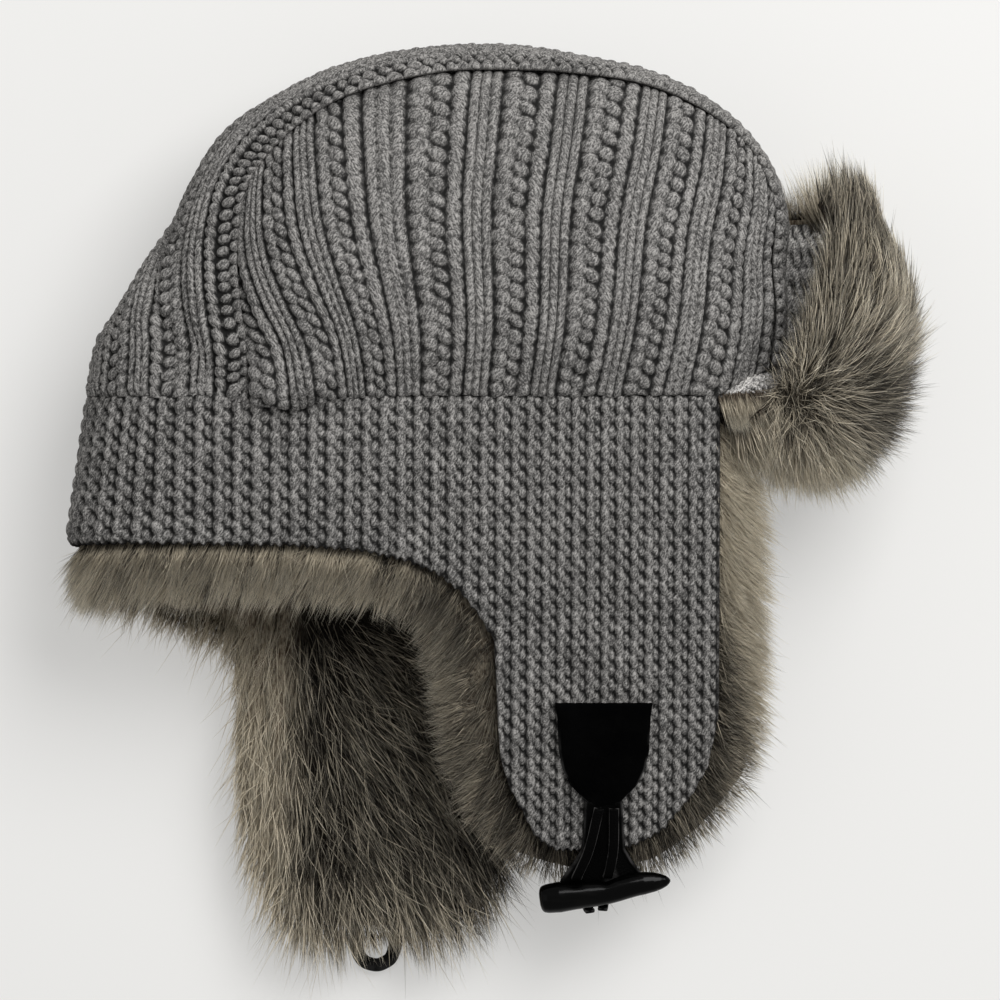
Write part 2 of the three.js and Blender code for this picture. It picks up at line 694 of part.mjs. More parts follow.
// A strap comes out from under the patch, runs over the tongue and turns under the toggle, and its end
// shows below it: it meets the toggle's top edge and leaves its lower edge at shares of its length
function makeStrap(startX, share, endShare) {
  const toggle = togglePath();
  const away = 3 * GAP + STRAP_THICKNESS / 2;
  const over = ON_KNIT + STRAP_THICKNESS + away;
  const meetX = toggle.getPointAt(share).x;
  const start = underShell(88 - startX, PATCH_TOP + PATCH_LENGTH + 1, -over);
  const mid = underShell(88 - lerp(startX, meetX, 0.6), FLAP_DEPTH - 2, -over);
  const turn = [155, 180, 210, 240, 270, 300, 325, 345];
  const under = turn.map((degrees, k) => {
    const place = lerp(share, endShare, k / (turn.length - 1));
    const centre = toggle.getPointAt(place);
    const radius = TOGGLE_RADIUS * toggleGirth(place)[0];
    const angle = (degrees * Math.PI) / 180;
    const y = centre.y - (radius + away) * Math.cos(angle);
    return [centre.x, y, centre.z + (radius * TOGGLE_FLATNESS + away) * Math.sin(angle)];
  });
  const path = curve([start.toArray(), mid.toArray(), ...under]);
  const section = () => ({ wide: STRAP_THICKNESS / Math.SQRT2, deep: STRAP_WIDTH / Math.SQRT2 });
  return sweep(path, 26, 4, section, vector(1, 0, 0));
}

// Half width of the leather tongue by the share of its length, which spreads like a bell
const tongueHalf = table([
  [0, 6.5],
  [0.5, 8.5],
  [0.75, 13],
  [0.9, 17],
  [1, 16],
]);

// The leather tongue below the patch, behind the straps
function makeTongue(middleS, length, spreadShare) {
  const face = (depth) => (u, v) => {
    const [wide] = tongueHalf(v);
    const s = middleS + (2 * u - 1) * wide * spreadShare;
    return underShell(s, PATCH_TOP + PATCH_LENGTH + 1 + v * length, -depth);
  };
  return slab(face(ON_KNIT + STRAP_THICKNESS), face(ON_KNIT), { across: evenly(4), down: evenly(6) });
}

// The cord loop that the toggle is pushed through
const LOOP = { x: -49, root: -161.5, bottom: -183.6, reach: 7.8 };

function makeLoop() {
  const z = LOOP_CORD / 2 + 0.2;
  const rows = [[LOOP.x - LOOP.reach + 2.4, LOOP.root, z], [LOOP.x - LOOP.reach, LOOP.root - 8, z]];
  for (let k = 0; k <= 4; k += 1) {
    const angle = Math.PI + (k / 4) * Math.PI;
    const low = LOOP.bottom + LOOP.reach;
    rows.push([LOOP.x + LOOP.reach * Math.cos(angle), low + LOOP.reach * Math.sin(angle), z]);
  }
  rows.push([LOOP.x + LOOP.reach, LOOP.root - 8, z], [LOOP.x + LOOP.reach - 2.4, LOOP.root, z]);
  return sweep(curve(rows), 20, 8, () => ({ wide: LOOP_CORD / 2, deep: LOOP_CORD / 2 }));
}

const hat = new THREE.Group();
hat.add(piece('crown_near_panel', makeNearPanel(), KNIT_GREY, 0.95));
hat.add(piece('crown_strip', makeStrip(), KNIT_GREY, 0.95));
hat.add(piece('crown_far_panel', makeFarPanel(), KNIT_GREY, 0.95));
hat.add(piece('flap_band', makeFlapBand(), KNIT_GREY, 0.95));
hat.add(piece('fur_lining', makeLining(), FUR_TAUPE, 0.9));
hat.add(piece('front_flap_knit', makeFrontKnit(), KNIT_GREY, 0.95));
hat.add(piece('front_flap_fur', makeFrontFur(), FUR_TAUPE, 0.9));
hat.add(piece('patch_near', makePatch(NEAR_PATCH_S), SUEDE_BLACK, 0.95));
hat.add(piece('tongue_near', makeTongue(NEAR_PATCH_S, 23, 1), LEATHER_BLACK, 0.45));
hat.add(piece('strap_near_rear', makeStrap(39, 0.28, 0.385), LEATHER_BLACK, 0.4));
hat.add(piece('strap_near_front', makeStrap(45, 0.52, 0.48), LEATHER_BLACK, 0.4));
hat.add(piece('toggle', makeToggle(), HORN_BLACK, 0.2));
hat.add(piece('patch_far', makePatch(FAR_PATCH_S), SUEDE_BLACK, 0.95));
hat.add(piece('tongue_far', makeTongue(FAR_PATCH_S, 25, 0.66), LEATHER_BLACK, 0.45));
hat.add(piece('loop_far', makeLoop(), LEATHER_BLACK, 0.4));

const box = new THREE.Box3().setFromObject(hat);
const centre = box.getCenter(vector(0, 0, 0));
hat.position.set(-centre.x, -centre.y, -box.min.z);

export default hat;
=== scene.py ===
"""The looks of a lined knit hat with ear flaps, lying on its left side.

Surfaces are worked out in millimetres in the hat's own frame: +X its front, +Y its top and +Z up
from the surface that it lies on, out of its right side. The near side is that right side.
"""

import bpy
import numpy as np
from bpy.props import FloatProperty, FloatVectorProperty, IntProperty, PointerProperty
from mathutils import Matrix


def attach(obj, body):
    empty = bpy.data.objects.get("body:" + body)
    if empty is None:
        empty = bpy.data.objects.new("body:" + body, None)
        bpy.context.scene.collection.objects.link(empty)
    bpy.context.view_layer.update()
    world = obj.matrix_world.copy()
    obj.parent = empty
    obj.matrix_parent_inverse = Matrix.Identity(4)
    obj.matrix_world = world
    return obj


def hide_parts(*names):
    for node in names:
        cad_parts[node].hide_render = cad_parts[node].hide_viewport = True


bl_info = {
    "name": "Lined knit hat",
    "version": (1, 0, 0),
    "blender": (4, 5, 0),
    "location": "View3D > Sidebar > Hat",
    "description": "Knitting, pile, suede, leather and horn for a hat with ear flaps",
    "category": "Object",
}

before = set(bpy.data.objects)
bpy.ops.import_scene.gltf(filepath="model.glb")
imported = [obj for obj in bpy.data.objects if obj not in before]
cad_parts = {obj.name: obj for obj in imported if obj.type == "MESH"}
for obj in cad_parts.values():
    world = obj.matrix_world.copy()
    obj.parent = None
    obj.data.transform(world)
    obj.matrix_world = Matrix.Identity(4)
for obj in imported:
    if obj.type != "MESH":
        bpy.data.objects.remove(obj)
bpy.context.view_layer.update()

MM = 0.001  # one millimetre in Blender's metres
# From the frame of the tables to the middle of the hat's box
ORIGIN_SHIFT = np.array([-0.988, -0.278, 0.0])

# Sizes that the hat's source gives too, in millimetres
WALL = 4.4
HALF_WALL = WALL / 2
SEAM_THINNING = 0.3
GAP = 0.3
RIB_PERIOD = 27.0
CROWN_SEAM_Y = 46.0
FAR_SEAM_DROP = 16.0
SHELL_LENGTH = 476.0
FLAP_DEPTH = 182.0
NAPE_DEPTH = 59.0
TOP_SEAM_Z = 78.0
CROWN_PILLOW = 15.0
SEAM_TUCK = 2.6
PLEAT_RISE = 5.0
NEAR_FLAP_DROOP = 52.0
NAPE_FLARE = 8.0
FAR_FLAP_SHEAR = 10.0
FAR_FRONT_LIFT = 12.0
FAR_TIP_LIFT = 3.4
NEAR_FRONT_X = 88.0
FAR_FRONT_X = 7.0
PILE = 20.0
FRONT_PILE = 25.0
PRESSED_PILE = 12.8
ON_KNIT = HALF_WALL + 0.9 + GAP
PATCH_TOP = 122.0
PATCH_WIDTH = 39.0
PATCH_LENGTH = 42.0
PATCH_THICKNESS = 1.5
NEAR_PATCH_S = 47.0
FAR_PATCH_S = SHELL_LENGTH - 45.0
TOGGLE_LENGTH = 53.0
TOGGLE_RADIUS = 6.2
TOGGLE_FLATNESS = 0.86
STRAP_WIDTH = 4.0
STRAP_THICKNESS = 1.8
LOOP_CORD = 5.4


def ramp(x, low, high):
    """Smooth step from 0 at low to 1 at high: 3t^2 - 2t^3."""
    t = np.clip((x - low) / (high - low), 0, 1)
    return t * t * (3 - 2 * t)


def fade(x, low, high):
    """Smooth step from 1 at low to 0 at high."""
    return 1 - ramp(x, low, high)


def bell(x, middle, width):
    """1 at the middle, 1/e at a width to either side: e to the power of minus distance squared."""
    return np.exp(-(((x - middle) / width) ** 2))


def lerp(a, b, t):
    return a + (b - a) * t


def unit(v):
    return v / np.maximum(np.linalg.norm(v, axis=-1, keepdims=True), 1e-9)


def xyz(x, y, z):
    return np.stack(np.broadcast_arrays(x, y, z), -1).astype(float)


def read(table, x):
    """The later columns of a table at x of its first column, straight between the rows."""
    table = np.array(table, float)
    return [np.interp(x, table[:, 0], column) for column in table[:, 1:].T]


def evenly(count):
    return np.linspace(0, 1, count)


def shares(across, down):
    """The share across of each column, as a row, and the share down of each row, as a column."""
    return evenly(across)[None, :], evenly(down)[:, None]


def scatter_numbers(i, j, salt):
    """A fixed number from 0 to 1 for each pair of whole numbers: the fraction of a large sine."""
    return np.modf(np.abs(np.sin(i * 12.9898 + j * 78.233 + salt * 37.719) * 43758.5453))[0]


def through(points, t):
    """A centripetal Catmull-Rom curve through points, at shares t of its steps. The points are
    (n, 3), or (..., n, 3) for a curve of its own at each t."""
    points = np.asarray(points, float)
    before = 2 * points[..., :1, :] - points[..., 1:2, :]
    after = 2 * points[..., -1:, :] - points[..., -2:-1, :]
    padded = np.concatenate([before, points, after], -2)
    steps = points.shape[-2] - 1
    x = np.clip(t, 0, 1) * steps
    k = np.minimum(x.astype(int), steps - 1)
    w = (x - k)[..., None]
    if points.ndim == 2:
        p = [padded[k + i] for i in range(4)]
    else:
        p = [np.take_along_axis(padded, (k + i)[..., None, None], -2)[..., 0, :] for i in range(4)]
    d0, d1, d2 = (np.sqrt(np.linalg.norm(b - a, axis=-1, keepdims=True) + 1e-9)
                  for a, b in zip(p, p[1:]))
    t1 = ((p[1] - p[0]) / d0 - (p[2] - p[0]) / (d0 + d1) + (p[2] - p[1]) / d1) * d1
    t2 = ((p[2] - p[1]) / d1 - (p[3] - p[1]) / (d1 + d2) + (p[3] - p[2]) / d2) * d1
    square = -3 * p[1] + 3 * p[2] - 2 * t1 - t2
    cube = 2 * p[1] - 2 * p[2] + t1 + t2
    return p[1] + w * t1 + w * w * square + w * w * w * cube


class Track:
    """A smooth curve through points, read by distance, that runs straight on past its ends."""

    def __init__(self, points, samples):
        self.line = through(points, evenly(samples))
        steps = np.linalg.norm(np.diff(self.line, axis=0), axis=1)
        self.along = np.concatenate([[0], np.cumsum(steps)])
        self.length = self.along[-1]

    def at(self, distance):
        inside = np.clip(distance, 0, self.length)
        point = np.stack([np.interp(inside, self.along, column) for column in self.line.T], -1)
        first, last = unit(self.line[1] - self.line[0]), unit(self.line[-1] - self.line[-2])
        point += np.minimum(distance, 0)[..., None] * first
        return point + np.maximum(distance - self.length, 0)[..., None] * last


def outward(points):
    """Unit normals of a grid of points: its step to the next column crossed with that down."""
    down, along = np.gradient(points, axis=(0, 1))
    return unit(np.cross(along, down))


def grid_faces(index):
    """Quads between the vertices of a grid, from the grid of their numbers."""
    quads = np.stack([index[:-1, :-1], index[:-1, 1:], index[1:, 1:], index[1:, :-1]], -1)
    return quads.reshape(-1, 4)


def bridge(outer, inner):
    """Triangles between two runs of vertices that start and end together, matched by share."""
    steps = np.arange(len(outer) - 1)
    mate = np.floor((steps + 0.5) / len(steps) * (len(inner) - 1) + 0.5 - 1e-9).astype(int)
    fans = np.stack([outer[1:], outer[:-1], inner[mate]], -1)
    hops = np.arange(len(inner) - 1)
    turn = np.searchsorted(mate, hops + 1)
    return np.concatenate([fans, np.stack([outer[turn], inner[hops], inner[hops + 1]], -1)])


def numbered(first, shape):
    """A grid of whole numbers that count on from the first."""
    return first + np.arange(shape[0] * shape[1]).reshape(shape)


def rim(index):
    """The four sides of a grid, in order round it."""
    return [index[0], index[:, -1], index[-1, ::-1], index[::-1, 0]]


def slab(front, back):
    """A closed body between a front grid and a back grid: its points and its faces."""
    outer = numbered(0, front.shape[:2])
    inner = numbered(outer.size, back.shape[:2])
    faces = [grid_faces(outer), grid_faces(inner)[:, ::-1]]
    faces += [bridge(a, b) for a, b in zip(rim(outer), rim(inner))]
    return np.concatenate([front.reshape(-1, 3), back.reshape(-1, 3)]), faces


def make_piece(name, points, faces, finish, slot, replaced=(), lowest=-np.inf, **values):
    """A mesh of its own for a piece, from points in millimetres that go no lower than a height,
    face arrays and values at the points."""
    points[:, 2] = np.maximum(points[:, 2], lowest)
    mesh = bpy.data.meshes.new(name)
    corners = np.concatenate([part.ravel() for part in faces]).astype(np.int32)
    sizes = np.concatenate([np.full(len(part), part.shape[1]) for part in faces])
    mesh.vertices.add(len(points))
    mesh.vertices.foreach_set("co", ((points + ORIGIN_SHIFT) * MM).astype(np.float32).ravel())
    mesh.loops.add(len(corners))
    mesh.loops.foreach_set("vertex_index", corners)
    mesh.polygons.add(len(sizes))
    starts = np.concatenate([[0], np.cumsum(sizes)[:-1]])
    mesh.polygons.foreach_set("loop_start", starts.astype(np.int32))
    mesh.polygons.foreach_set("use_smooth", np.ones(len(sizes), bool))
    for key, numbers in values.items():
        layer = mesh.attributes.new(key, "FLOAT", "POINT")
        layer.data.foreach_set("value", np.asarray(numbers, np.float32).ravel())
    mesh.update(calc_edges=True)
    if mesh.validate():
        raise RuntimeError(f"{name} has faces that a mesh cannot hold")
    mesh.materials.append(finish)
    piece = bpy.data.objects.new(name, mesh)
    bpy.context.scene.collection.objects.link(piece)
    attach(piece, "root")
    if replaced:
        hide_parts(*replaced)


# Materials

class Value:
    """A number in a shader: it wraps a socket, and arithmetic on it adds Math nodes."""

    def __init__(self, finish, socket):
        self.finish = finish
        self.socket = socket

    def join(self, operation, *terms):
        return self.finish.node("ShaderNodeMath", {"operation": operation}, dict(enumerate(terms)))

    def __add__(self, other):
        return self.join("ADD", self, other)

    def __sub__(self, other):
        return self.join("SUBTRACT", self, other)

    def __rsub__(self, other):
        return self.join("SUBTRACT", other, self)

    def __mul__(self, other):
        return self.join("MULTIPLY", self, other)

    __radd__ = __add__
    __rmul__ = __mul__


class Finish:
    """A material while it is made, with one method that adds any node."""

    def __init__(self, name):
        self.material = bpy.data.materials.new(name)
        self.material.use_nodes = True
        self.tree = self.material.node_tree
        self.shader = self.tree.nodes["Principled BSDF"]

    def node(self, kind, settings=None, inputs=None, output=0):
        made = self.tree.nodes.new(kind)
        for key, setting in (settings or {}).items():
            if key == "stops":
                self.set_stops(made.color_ramp, setting)
            else:
                setattr(made, key, setting)
        self.fill(made, inputs or {})
        return Value(self, made.outputs[output])

    def fill(self, made, inputs):
        for key, value in inputs.items():
            if isinstance(value, Value):
                self.tree.links.new(value.socket, made.inputs[key])
            else:
                made.inputs[key].default_value = value

    def set_stops(self, colors, stops):
        while len(colors.elements) < len(stops):
            colors.elements.new(0.5)
        for element, (place, color) in zip(colors.elements, stops):
            element.position = place
            element.color = (*color, 1)

    def place(self):
        return self.node("ShaderNodeTexCoord", output="Object")

    def stretched(self, scale):
        return self.node("ShaderNodeMapping", None, {"Vector": self.place(), "Scale": scale})

    def drawn_out(self, turn):
        """The place turned in the plane of the surface by an angle, and then squeezed along Y, so
        that what reads it is drawn out in that direction."""
        turned = self.node("ShaderNodeVectorRotate", {"rotation_type": "Z_AXIS"},
                           {"Vector": self.place(), "Angle": turn})
        return self.node("ShaderNodeMapping", None, {"Vector": turned, "Scale": (1.0, 0.3, 1.0)})

    def noise(self, vector, scale, detail=3.0, roughness=0.6):
        inputs = {"Vector": vector, "Scale": scale, "Detail": detail, "Roughness": roughness}
        return self.node("ShaderNodeTexNoise", None, inputs, "Fac")

    def attribute(self, name):
        return self.node("ShaderNodeAttribute", {"attribute_name": name}, None, "Fac")

    def ramp(self, value, stops):
        return self.node("ShaderNodeValToRGB", {"stops": stops}, {"Fac": value})

    def blend(self, share, a, b, mode="MIX"):
        """Two colours mixed by a share."""
        a, b = (color if isinstance(color, Value) else rgba(color) for color in (a, b))
        settings = {"data_type": "RGBA", "blend_type": mode}
        return self.node("ShaderNodeMix", settings, {0: share, 6: a, 7: b}, 2)

    def clamped(self, value, low, high):
        """A value run from 0 at low to 1 at high, and held there beyond."""
        inputs = {"Value": value, "From Min": low, "From Max": high}
        return self.node("ShaderNodeMapRange", {"interpolation_type": "SMOOTHSTEP"}, inputs)

    def bump(self, height, distance, strength):
        inputs = {"Height": height, "Distance": distance, "Strength": strength}
        return self.node("ShaderNodeBump", None, inputs)

    def done(self, **sockets):
        self.fill(self.shader, {key.replace("_", " "): value for key, value in sockets.items()})
        return self.material


def rgba(color):
    return (*color, 1.0)


def wool_finish(name, colors, lift=1.0):
    """Heathered wool: light and dark fibres that follow the lean of each stitch, with painted shade
    that darkens the pits between stitches, all made paler by a lift, which paints light on it."""
    finish = Finish(name)
    place = finish.place()
    left, right = (finish.noise(finish.drawn_out(turn), 1500.0, 2.0) for turn in (0.55, -0.55))
    twist = finish.attribute("twist")
    fibres = left * (1.0 - twist) + right * twist
    flecks = finish.noise(place, 1700.0, 1.0, 0.5)
    cloudy = finish.noise(place, 60.0)
    mixed = finish.clamped(fibres * 0.7 + flecks * 0.3 + (cloudy - 0.5) * 0.16, 0.38, 0.68)
    yarn = finish.blend(mixed, colors.yarn_dark, colors.yarn_light)
    # Painted shade: the crest value darkens the pits between stitches towards the pit shade colour.
    pit_shade = finish.clamped(finish.attribute("crest") + (fibres - 0.5) * 0.25, 0.0, 0.7)
    color = finish.blend(pit_shade, colors.yarn_pit_shade, yarn)
    # Painted light: the lift makes the whole wool paler, for knitting that lies in shade.
    color = finish.blend(1.0, color, (lift, lift, lift), "MULTIPLY")
    fuzz = finish.bump(fibres, 0.0006, 0.8)
    return finish.done(Base_Color=color, Roughness=0.95, Normal=fuzz, Specular_IOR_Level=0.15)


def toned(finish, color):
    """A pile colour made darker or lighter by the tone stored at its points, which holds both
    random tone and painted light and shade.
    """
    tone = finish.clamped(finish.attribute("tone"), 0.0, 1.0)
    shade = finish.blend(tone, (0.1, 0.095, 0.09), (3.0, 3.0, 3.0))
    return finish.blend(1.0, color, shade, "MULTIPLY")


def pile_finish(name, colors):
    """Pile hairs: dark and warm at the root, taupe along the hair and paler at the tip."""
    finish = Finish(name)
    stops = [(0.0, colors.root), (0.26, colors.middle), (0.62, colors.middle), (1.0, colors.tip)]
    color = toned(finish, finish.ramp(finish.attribute("along"), stops))
    return finish.done(Base_Color=color, Roughness=0.55, Specular_IOR_Level=0.35)


def underpile_finish(name, colors):
    """The dense short pile under the long hairs, in fine streaks."""
    finish = Finish(name)
    streaks = finish.noise(finish.stretched((1.0, 0.22, 1.0)), 1100.0, roughness=0.7)
    clumps = finish.noise(finish.place(), 150.0)
    mixed = finish.clamped(streaks * 0.7 + clumps * 0.3, 0.35, 0.68)
    color = toned(finish, finish.blend(mixed, colors.root, colors.middle))
    fuzz = finish.bump(streaks, 0.002, 0.9)
    return finish.done(Base_Color=color, Roughness=0.8, Normal=fuzz, Specular_IOR_Level=0.1)


def suede_finish(name):
    """Black suede: a fine nap, and a painted highlight as a thin pale line along its cut edge."""
    finish = Finish(name)
    nap = finish.noise(finish.place(), 2200.0, roughness=0.8)
    brushed = finish.noise(finish.place(), 90.0)
    shade = finish.clamped(nap * 0.5 + brushed * 0.5, 0.35, 0.75)
    color = finish.blend(shade, (0.0003, 0.0003, 0.0004), (0.0018, 0.0018, 0.0018))
    # Painted highlight along the cut edge, patchy by the brushed noise
    wear_and_highlight = finish.attribute("edge") * finish.clamped(brushed, 0.4, 0.6)
    color = finish.blend(wear_and_highlight, color, (0.05, 0.049, 0.048))
    return finish.done(Base_Color=color, Roughness=1.0, Normal=finish.bump(nap, 0.0004, 0.7),
                       Specular_IOR_Level=0.02)


def leather_finish(name):
    """Black leather: fine grain, and a painted highlight that makes it paler along its edges and
    folds.
    """
    finish = Finish(name)
    cells = finish.node("ShaderNodeTexVoronoi", {"feature": "DISTANCE_TO_EDGE"},
                        {"Vector": finish.place(), "Scale": 900.0}, "Distance")
    grain = finish.clamped(cells, 0.0, 0.25)
    wear_and_highlight = finish.noise(finish.place(), 160.0, 4.0)
    # Painted highlight: paler where the edge value is high, patchy by the noise
    painted_highlight = finish.attribute("edge") * finish.clamped(wear_and_highlight, 0.3, 0.6)
    color = finish.blend(painted_highlight, (0.0008, 0.0008, 0.0008), (0.1, 0.097, 0.095))
    bumpy = finish.bump(grain * 0.5 + wear_and_highlight, 0.0004, 0.6)
    return finish.done(Base_Color=color, Roughness=0.4 + 0.25 * wear_and_highlight, Normal=bumpy,
                       Specular_IOR_Level=0.03)


def horn_finish(name):
    """Polished black horn: faint lengthwise streaks under a gloss."""
    finish = Finish(name)
    streaks = finish.noise(finish.stretched((0.12, 1.0, 1.0)), 420.0, 4.0)
    pale = finish.clamped(streaks, 0.5, 0.8)
    color = finish.blend(pale, (0.0005, 0.0005, 0.0005), (0.004, 0.0038, 0.0035))
    return finish.done(Base_Color=color, Roughness=0.11 + 0.1 * streaks,
                       Normal=finish.bump(streaks, 0.0002, 0.25), Specular_IOR_Level=0.1)


def floor_finish(name, color):
    """A pale sheet that glows, as if lit from all round, so that the shadows on it are faint."""
    finish = Finish(name)
    half = rgba([0.54 * part for part in color])
    return finish.done(Base_Color=half, Roughness=0.85, Specular_IOR_Level=0.2,
                       Emission_Color=half, Emission_Strength=1.0)


# Knitting

STITCH_DOME = 1.45  # how far a stitch's crown stands over the gaps round it
PIT = -1.7  # the lowest height between stitches
CREST = 0.45  # the height that counts as a stitch's top
PLAIN = 0.4  # crest and twist of a plain inner face

# Columns of stitches across one repeat, in millimetres: middle, half width, half length, pitch,
# start, lean across for each step up, rise towards the top end, level, unevenness
SMOOTH_RIB = [
    (1.6, 1.5, 3.1, 3.6, 0.0, -0.1, -0.35, 0.15, 0.35),
    (4.8, 1.5, 3.1, 3.6, 0.3, 0.1, -0.35, 0.15, 0.35),
    (8.0, 1.5, 3.1, 3.6, 0.1, -0.1, -0.35, 0.1, 0.35),
]
BEAD_RIB = [
    (13.3, 2.5, 3.0, 6.0, 0.0, -0.12, 0.15, 0.6, 1.2),
    (18.3, 2.45, 2.95, 6.0, 3.0, -0.35, 0.1, 0.2, 1.4),
    (23.9, 2.3, 3.4, 5.2, 0.4, 0.12, -0.1, 0.3, 0.9),
]
CROWN_KNIT = SMOOTH_RIB + BEAD_RIB
STRIP_KNIT = SMOOTH_RIB + [
    (13.3, 2.6, 2.55, 5.6, 0.0, -0.2, 0.4, 0.65, 1.2),
    (18.3, 2.5, 2.5, 5.6, 2.8, -0.35, 0.3, 0.3, 1.4),
    (23.9, 2.3, 2.9, 5.2, 0.4, 0.12, 0.1, 0.3, 0.9),
]
GARTER_PERIOD = 8.0
GARTER_KNIT = [
    (2.2, 2.15, 3.15, 5.9, 0.0, -0.22, 0.2, 0.5, 1.0),
    (6.0, 1.95, 2.75, 5.9, 2.9, -0.15, -0.1, -0.2, 1.0),
]


def stitches(x, y, period, knit):
    """Height of the knitting over its middle surface: the highest of the domes of all stitches,
    each a leaning half ellipsoid whose place and size vary a little from stitch to stitch. Also
    which way the highest one leans: 0 to the left going up, 1 to the right."""
    shape = np.broadcast(x, y).shape
    top, twist = np.full(shape, PIT), np.zeros(shape)
    for middle, wide, tall, pitch, start, lean, rise, level, uneven in knit:
        repeat = np.floor((x - middle) / period + 0.5)
        line = np.rint((y - start) / pitch)
        for step in (-1, 0, 1):
            row = line + step
            a, b, c = (uneven * (scatter_numbers(repeat, row, middle + salt) - 0.5)
                       for salt in (0.1, 0.37, 0.71))
            dy = y - start - row * pitch + 0.4 * a
            dx = x - middle - repeat * period - (lean + 0.2 * c) * dy + 0.35 * b
            across = dx / (wide * (1 + 0.12 * c))
            along = dy / tall
            inside = across**2 + along**2
            dome = STITCH_DOME * (np.sqrt(np.clip(1 - inside, 0, 1)) - 1)
            dome = dome - 0.8 * np.clip(inside - 1, 0, 3)
            height = level + rise * along + dome + 0.3 * a
            twist = np.where(height > top, float(lean > 0), twist)
            top = np.maximum(top, height)
    return top, twist


def crest_share(height):
    """How near a height is to the stitches' tops: 0 in the pits, 1 at the crest."""
    return np.clip((height - PIT) / (CREST - PIT), 0, 1)


def seam_share(u, v, left, right, low, high):
    """Thickness of a wall near its seams, from SEAM_THINNING at each edge up to 1 inside."""
    share = np.ones(np.broadcast(u, v).shape)
    for distance, width in ((u, left), (1 - u, right), (v, low), (1 - v, high)):
        if width:
            share = np.minimum(share, lerp(SEAM_THINNING, 1, ramp(distance, 0, width)))
    return share


def knitted_wall(surface, u, v, pattern, seams, back_step=8):
    """Front and back grids of a knitted wall about its middle surface, and the stitches' crest and
    twist values: the front stands out by half the wall and the stitches' height, the back is plain
    and coarser."""
    u, v = u[None, :], v[:, None]
    middle = surface(u, v)
    thin = seam_share(u, v, *seams)
    height, twist = pattern(u, v, middle)
    rise = HALF_WALL * thin + height * lerp(0.6, 1, thin)
    front = middle + outward(middle) * rise[..., None]
    us, vs = shares(u.size // back_step, v.size // back_step)
    inner = surface(us, vs)
    back = inner - outward(inner) * (HALF_WALL * seam_share(us, vs, *seams))[..., None]
    plain = np.full(us.size * vs.size, PLAIN)
    crest = np.concatenate([crest_share(height).ravel(), plain])
    return front, back, crest, np.concatenate([twist.ravel(), plain])


# The crown's centre strip, row by row from the nape over the top to the forehead: the near seam,
# the ridge that makes the hat's outline as it lies, and the far seam, each as x, y and z
STRIP = np.array([
    [-99, 46.2, 91.5, -162.2, 46.2, 46, -146, 43.4, 9],
    [-98.5, 62, 91, -158.5, 66, 47, -145, 60, 9],
    [-101, 77, 90, -151.5, 78, 47, -139, 76, 10],
    [-103, 95, 87, -140, 97, 48, -130, 92, 10],
    [-102.5, 112, 84, -129, 113, 48, -121, 107, 10],
    [-99.5, 127, 81, -121.5, 129, 48, -113, 122, 10],
    [-92, 140, TOP_SEAM_Z, -108, 150, 48, -101, 140, 10],
    [-79, 153, TOP_SEAM_Z, -86, 165, 48, -82, 154, 10],
    [-60, 164.5, TOP_SEAM_Z, -62, 176, 48, -58, 165, 10],
    [-23, 174, TOP_SEAM_Z, -28, 183, 48, -26, 171, 11],
    [5, 175, TOP_SEAM_Z, 6, 183.8, 48, 6, 170, 13],
    [32, 173.5, 77, 34, 179.5, 48, 30, 165, 17],
    [58, 169.5, 75, 61, 173.5, 48, 52, 156, 20],
    [79, 161, 73, 83, 163, 48, 68, 144, 23],
    [95, 150, 71, 99, 149.5, 48, 78, 132, 25],
    [105, 137, 70, 109.5, 134, 48, 84, 119, 26],
    [110.5, 119, 69, 114.5, 116, 48, 87, 103, 26],
    [109.5, 99, 69, 113.5, 97, 48, 88, 88, 26],
    [111, 79, 68, 114, 78, 48, 88, 73, 26],
    [109, 57, 67, 111.5, 55.5, 46, 86, 52, 24],
])
NEAR_SEAM, STRIP_RIDGE, FAR_SEAM = STRIP[:, 0:3], STRIP[:, 3:6], STRIP[:, 6:9]
STRIP_INSET = 0.0005
LIP_RISE = 1.3  # how far the crown's lower edges stand over the band's wall

# Creases up the strip behind: share along, and the share across of the first and second crease
CREASES = [(0, 0.06, 0.11), (0.09, 0.14, 0.2), (0.16, 0.22, 0.34), (0.22, 0.3, 0.46)]
CREASE_DEPTH = 2.4
CREASE_WIDTH = 0.03
ROLL = 1.6  # how far the strip's near edge stands proud where it turns over the top
ROLL_WIDTH = 0.1


def strip_surface(u, v):
    """Two quarter ellipses across, from the near seam to the ridge and on to the far seam, sunk
    along two creases behind."""
    near, ridge, far = (through(line, u) for line in (NEAR_SEAM, STRIP_RIDGE, FAR_SEAM))
    w = lerp(STRIP_INSET, 1 - STRIP_INSET, v)[..., None]
    seam = np.where(w < 0.5, near, far)
    turn = np.pi * np.where(w < 0.5, w, 1 - w)
    point = lerp(seam, ridge, np.sin(turn))
    point[..., 2:] = ridge[..., 2:] + (seam[..., 2:] - ridge[..., 2:]) * np.cos(turn)
    sunk = sum(bell(v, fold, CREASE_WIDTH) for fold in read(CREASES, u))
    rolled = ROLL * bell(v, 0, ROLL_WIDTH) * ramp(u, 0.2, 0.3)
    depth = CREASE_DEPTH * fade(u, 0.15, 0.25) * sunk - rolled
    lip = fade(u, 0, 0.014)
    point = point - outward(point) * (depth - LIP_RISE * lip)[..., None]
    point[..., 1] -= (0.8 + 2.4 * lumps(v, 0 * u, 22, 1, 6.3) + 1.6 * fade(v, 0, 0.2)) * lip
    return point


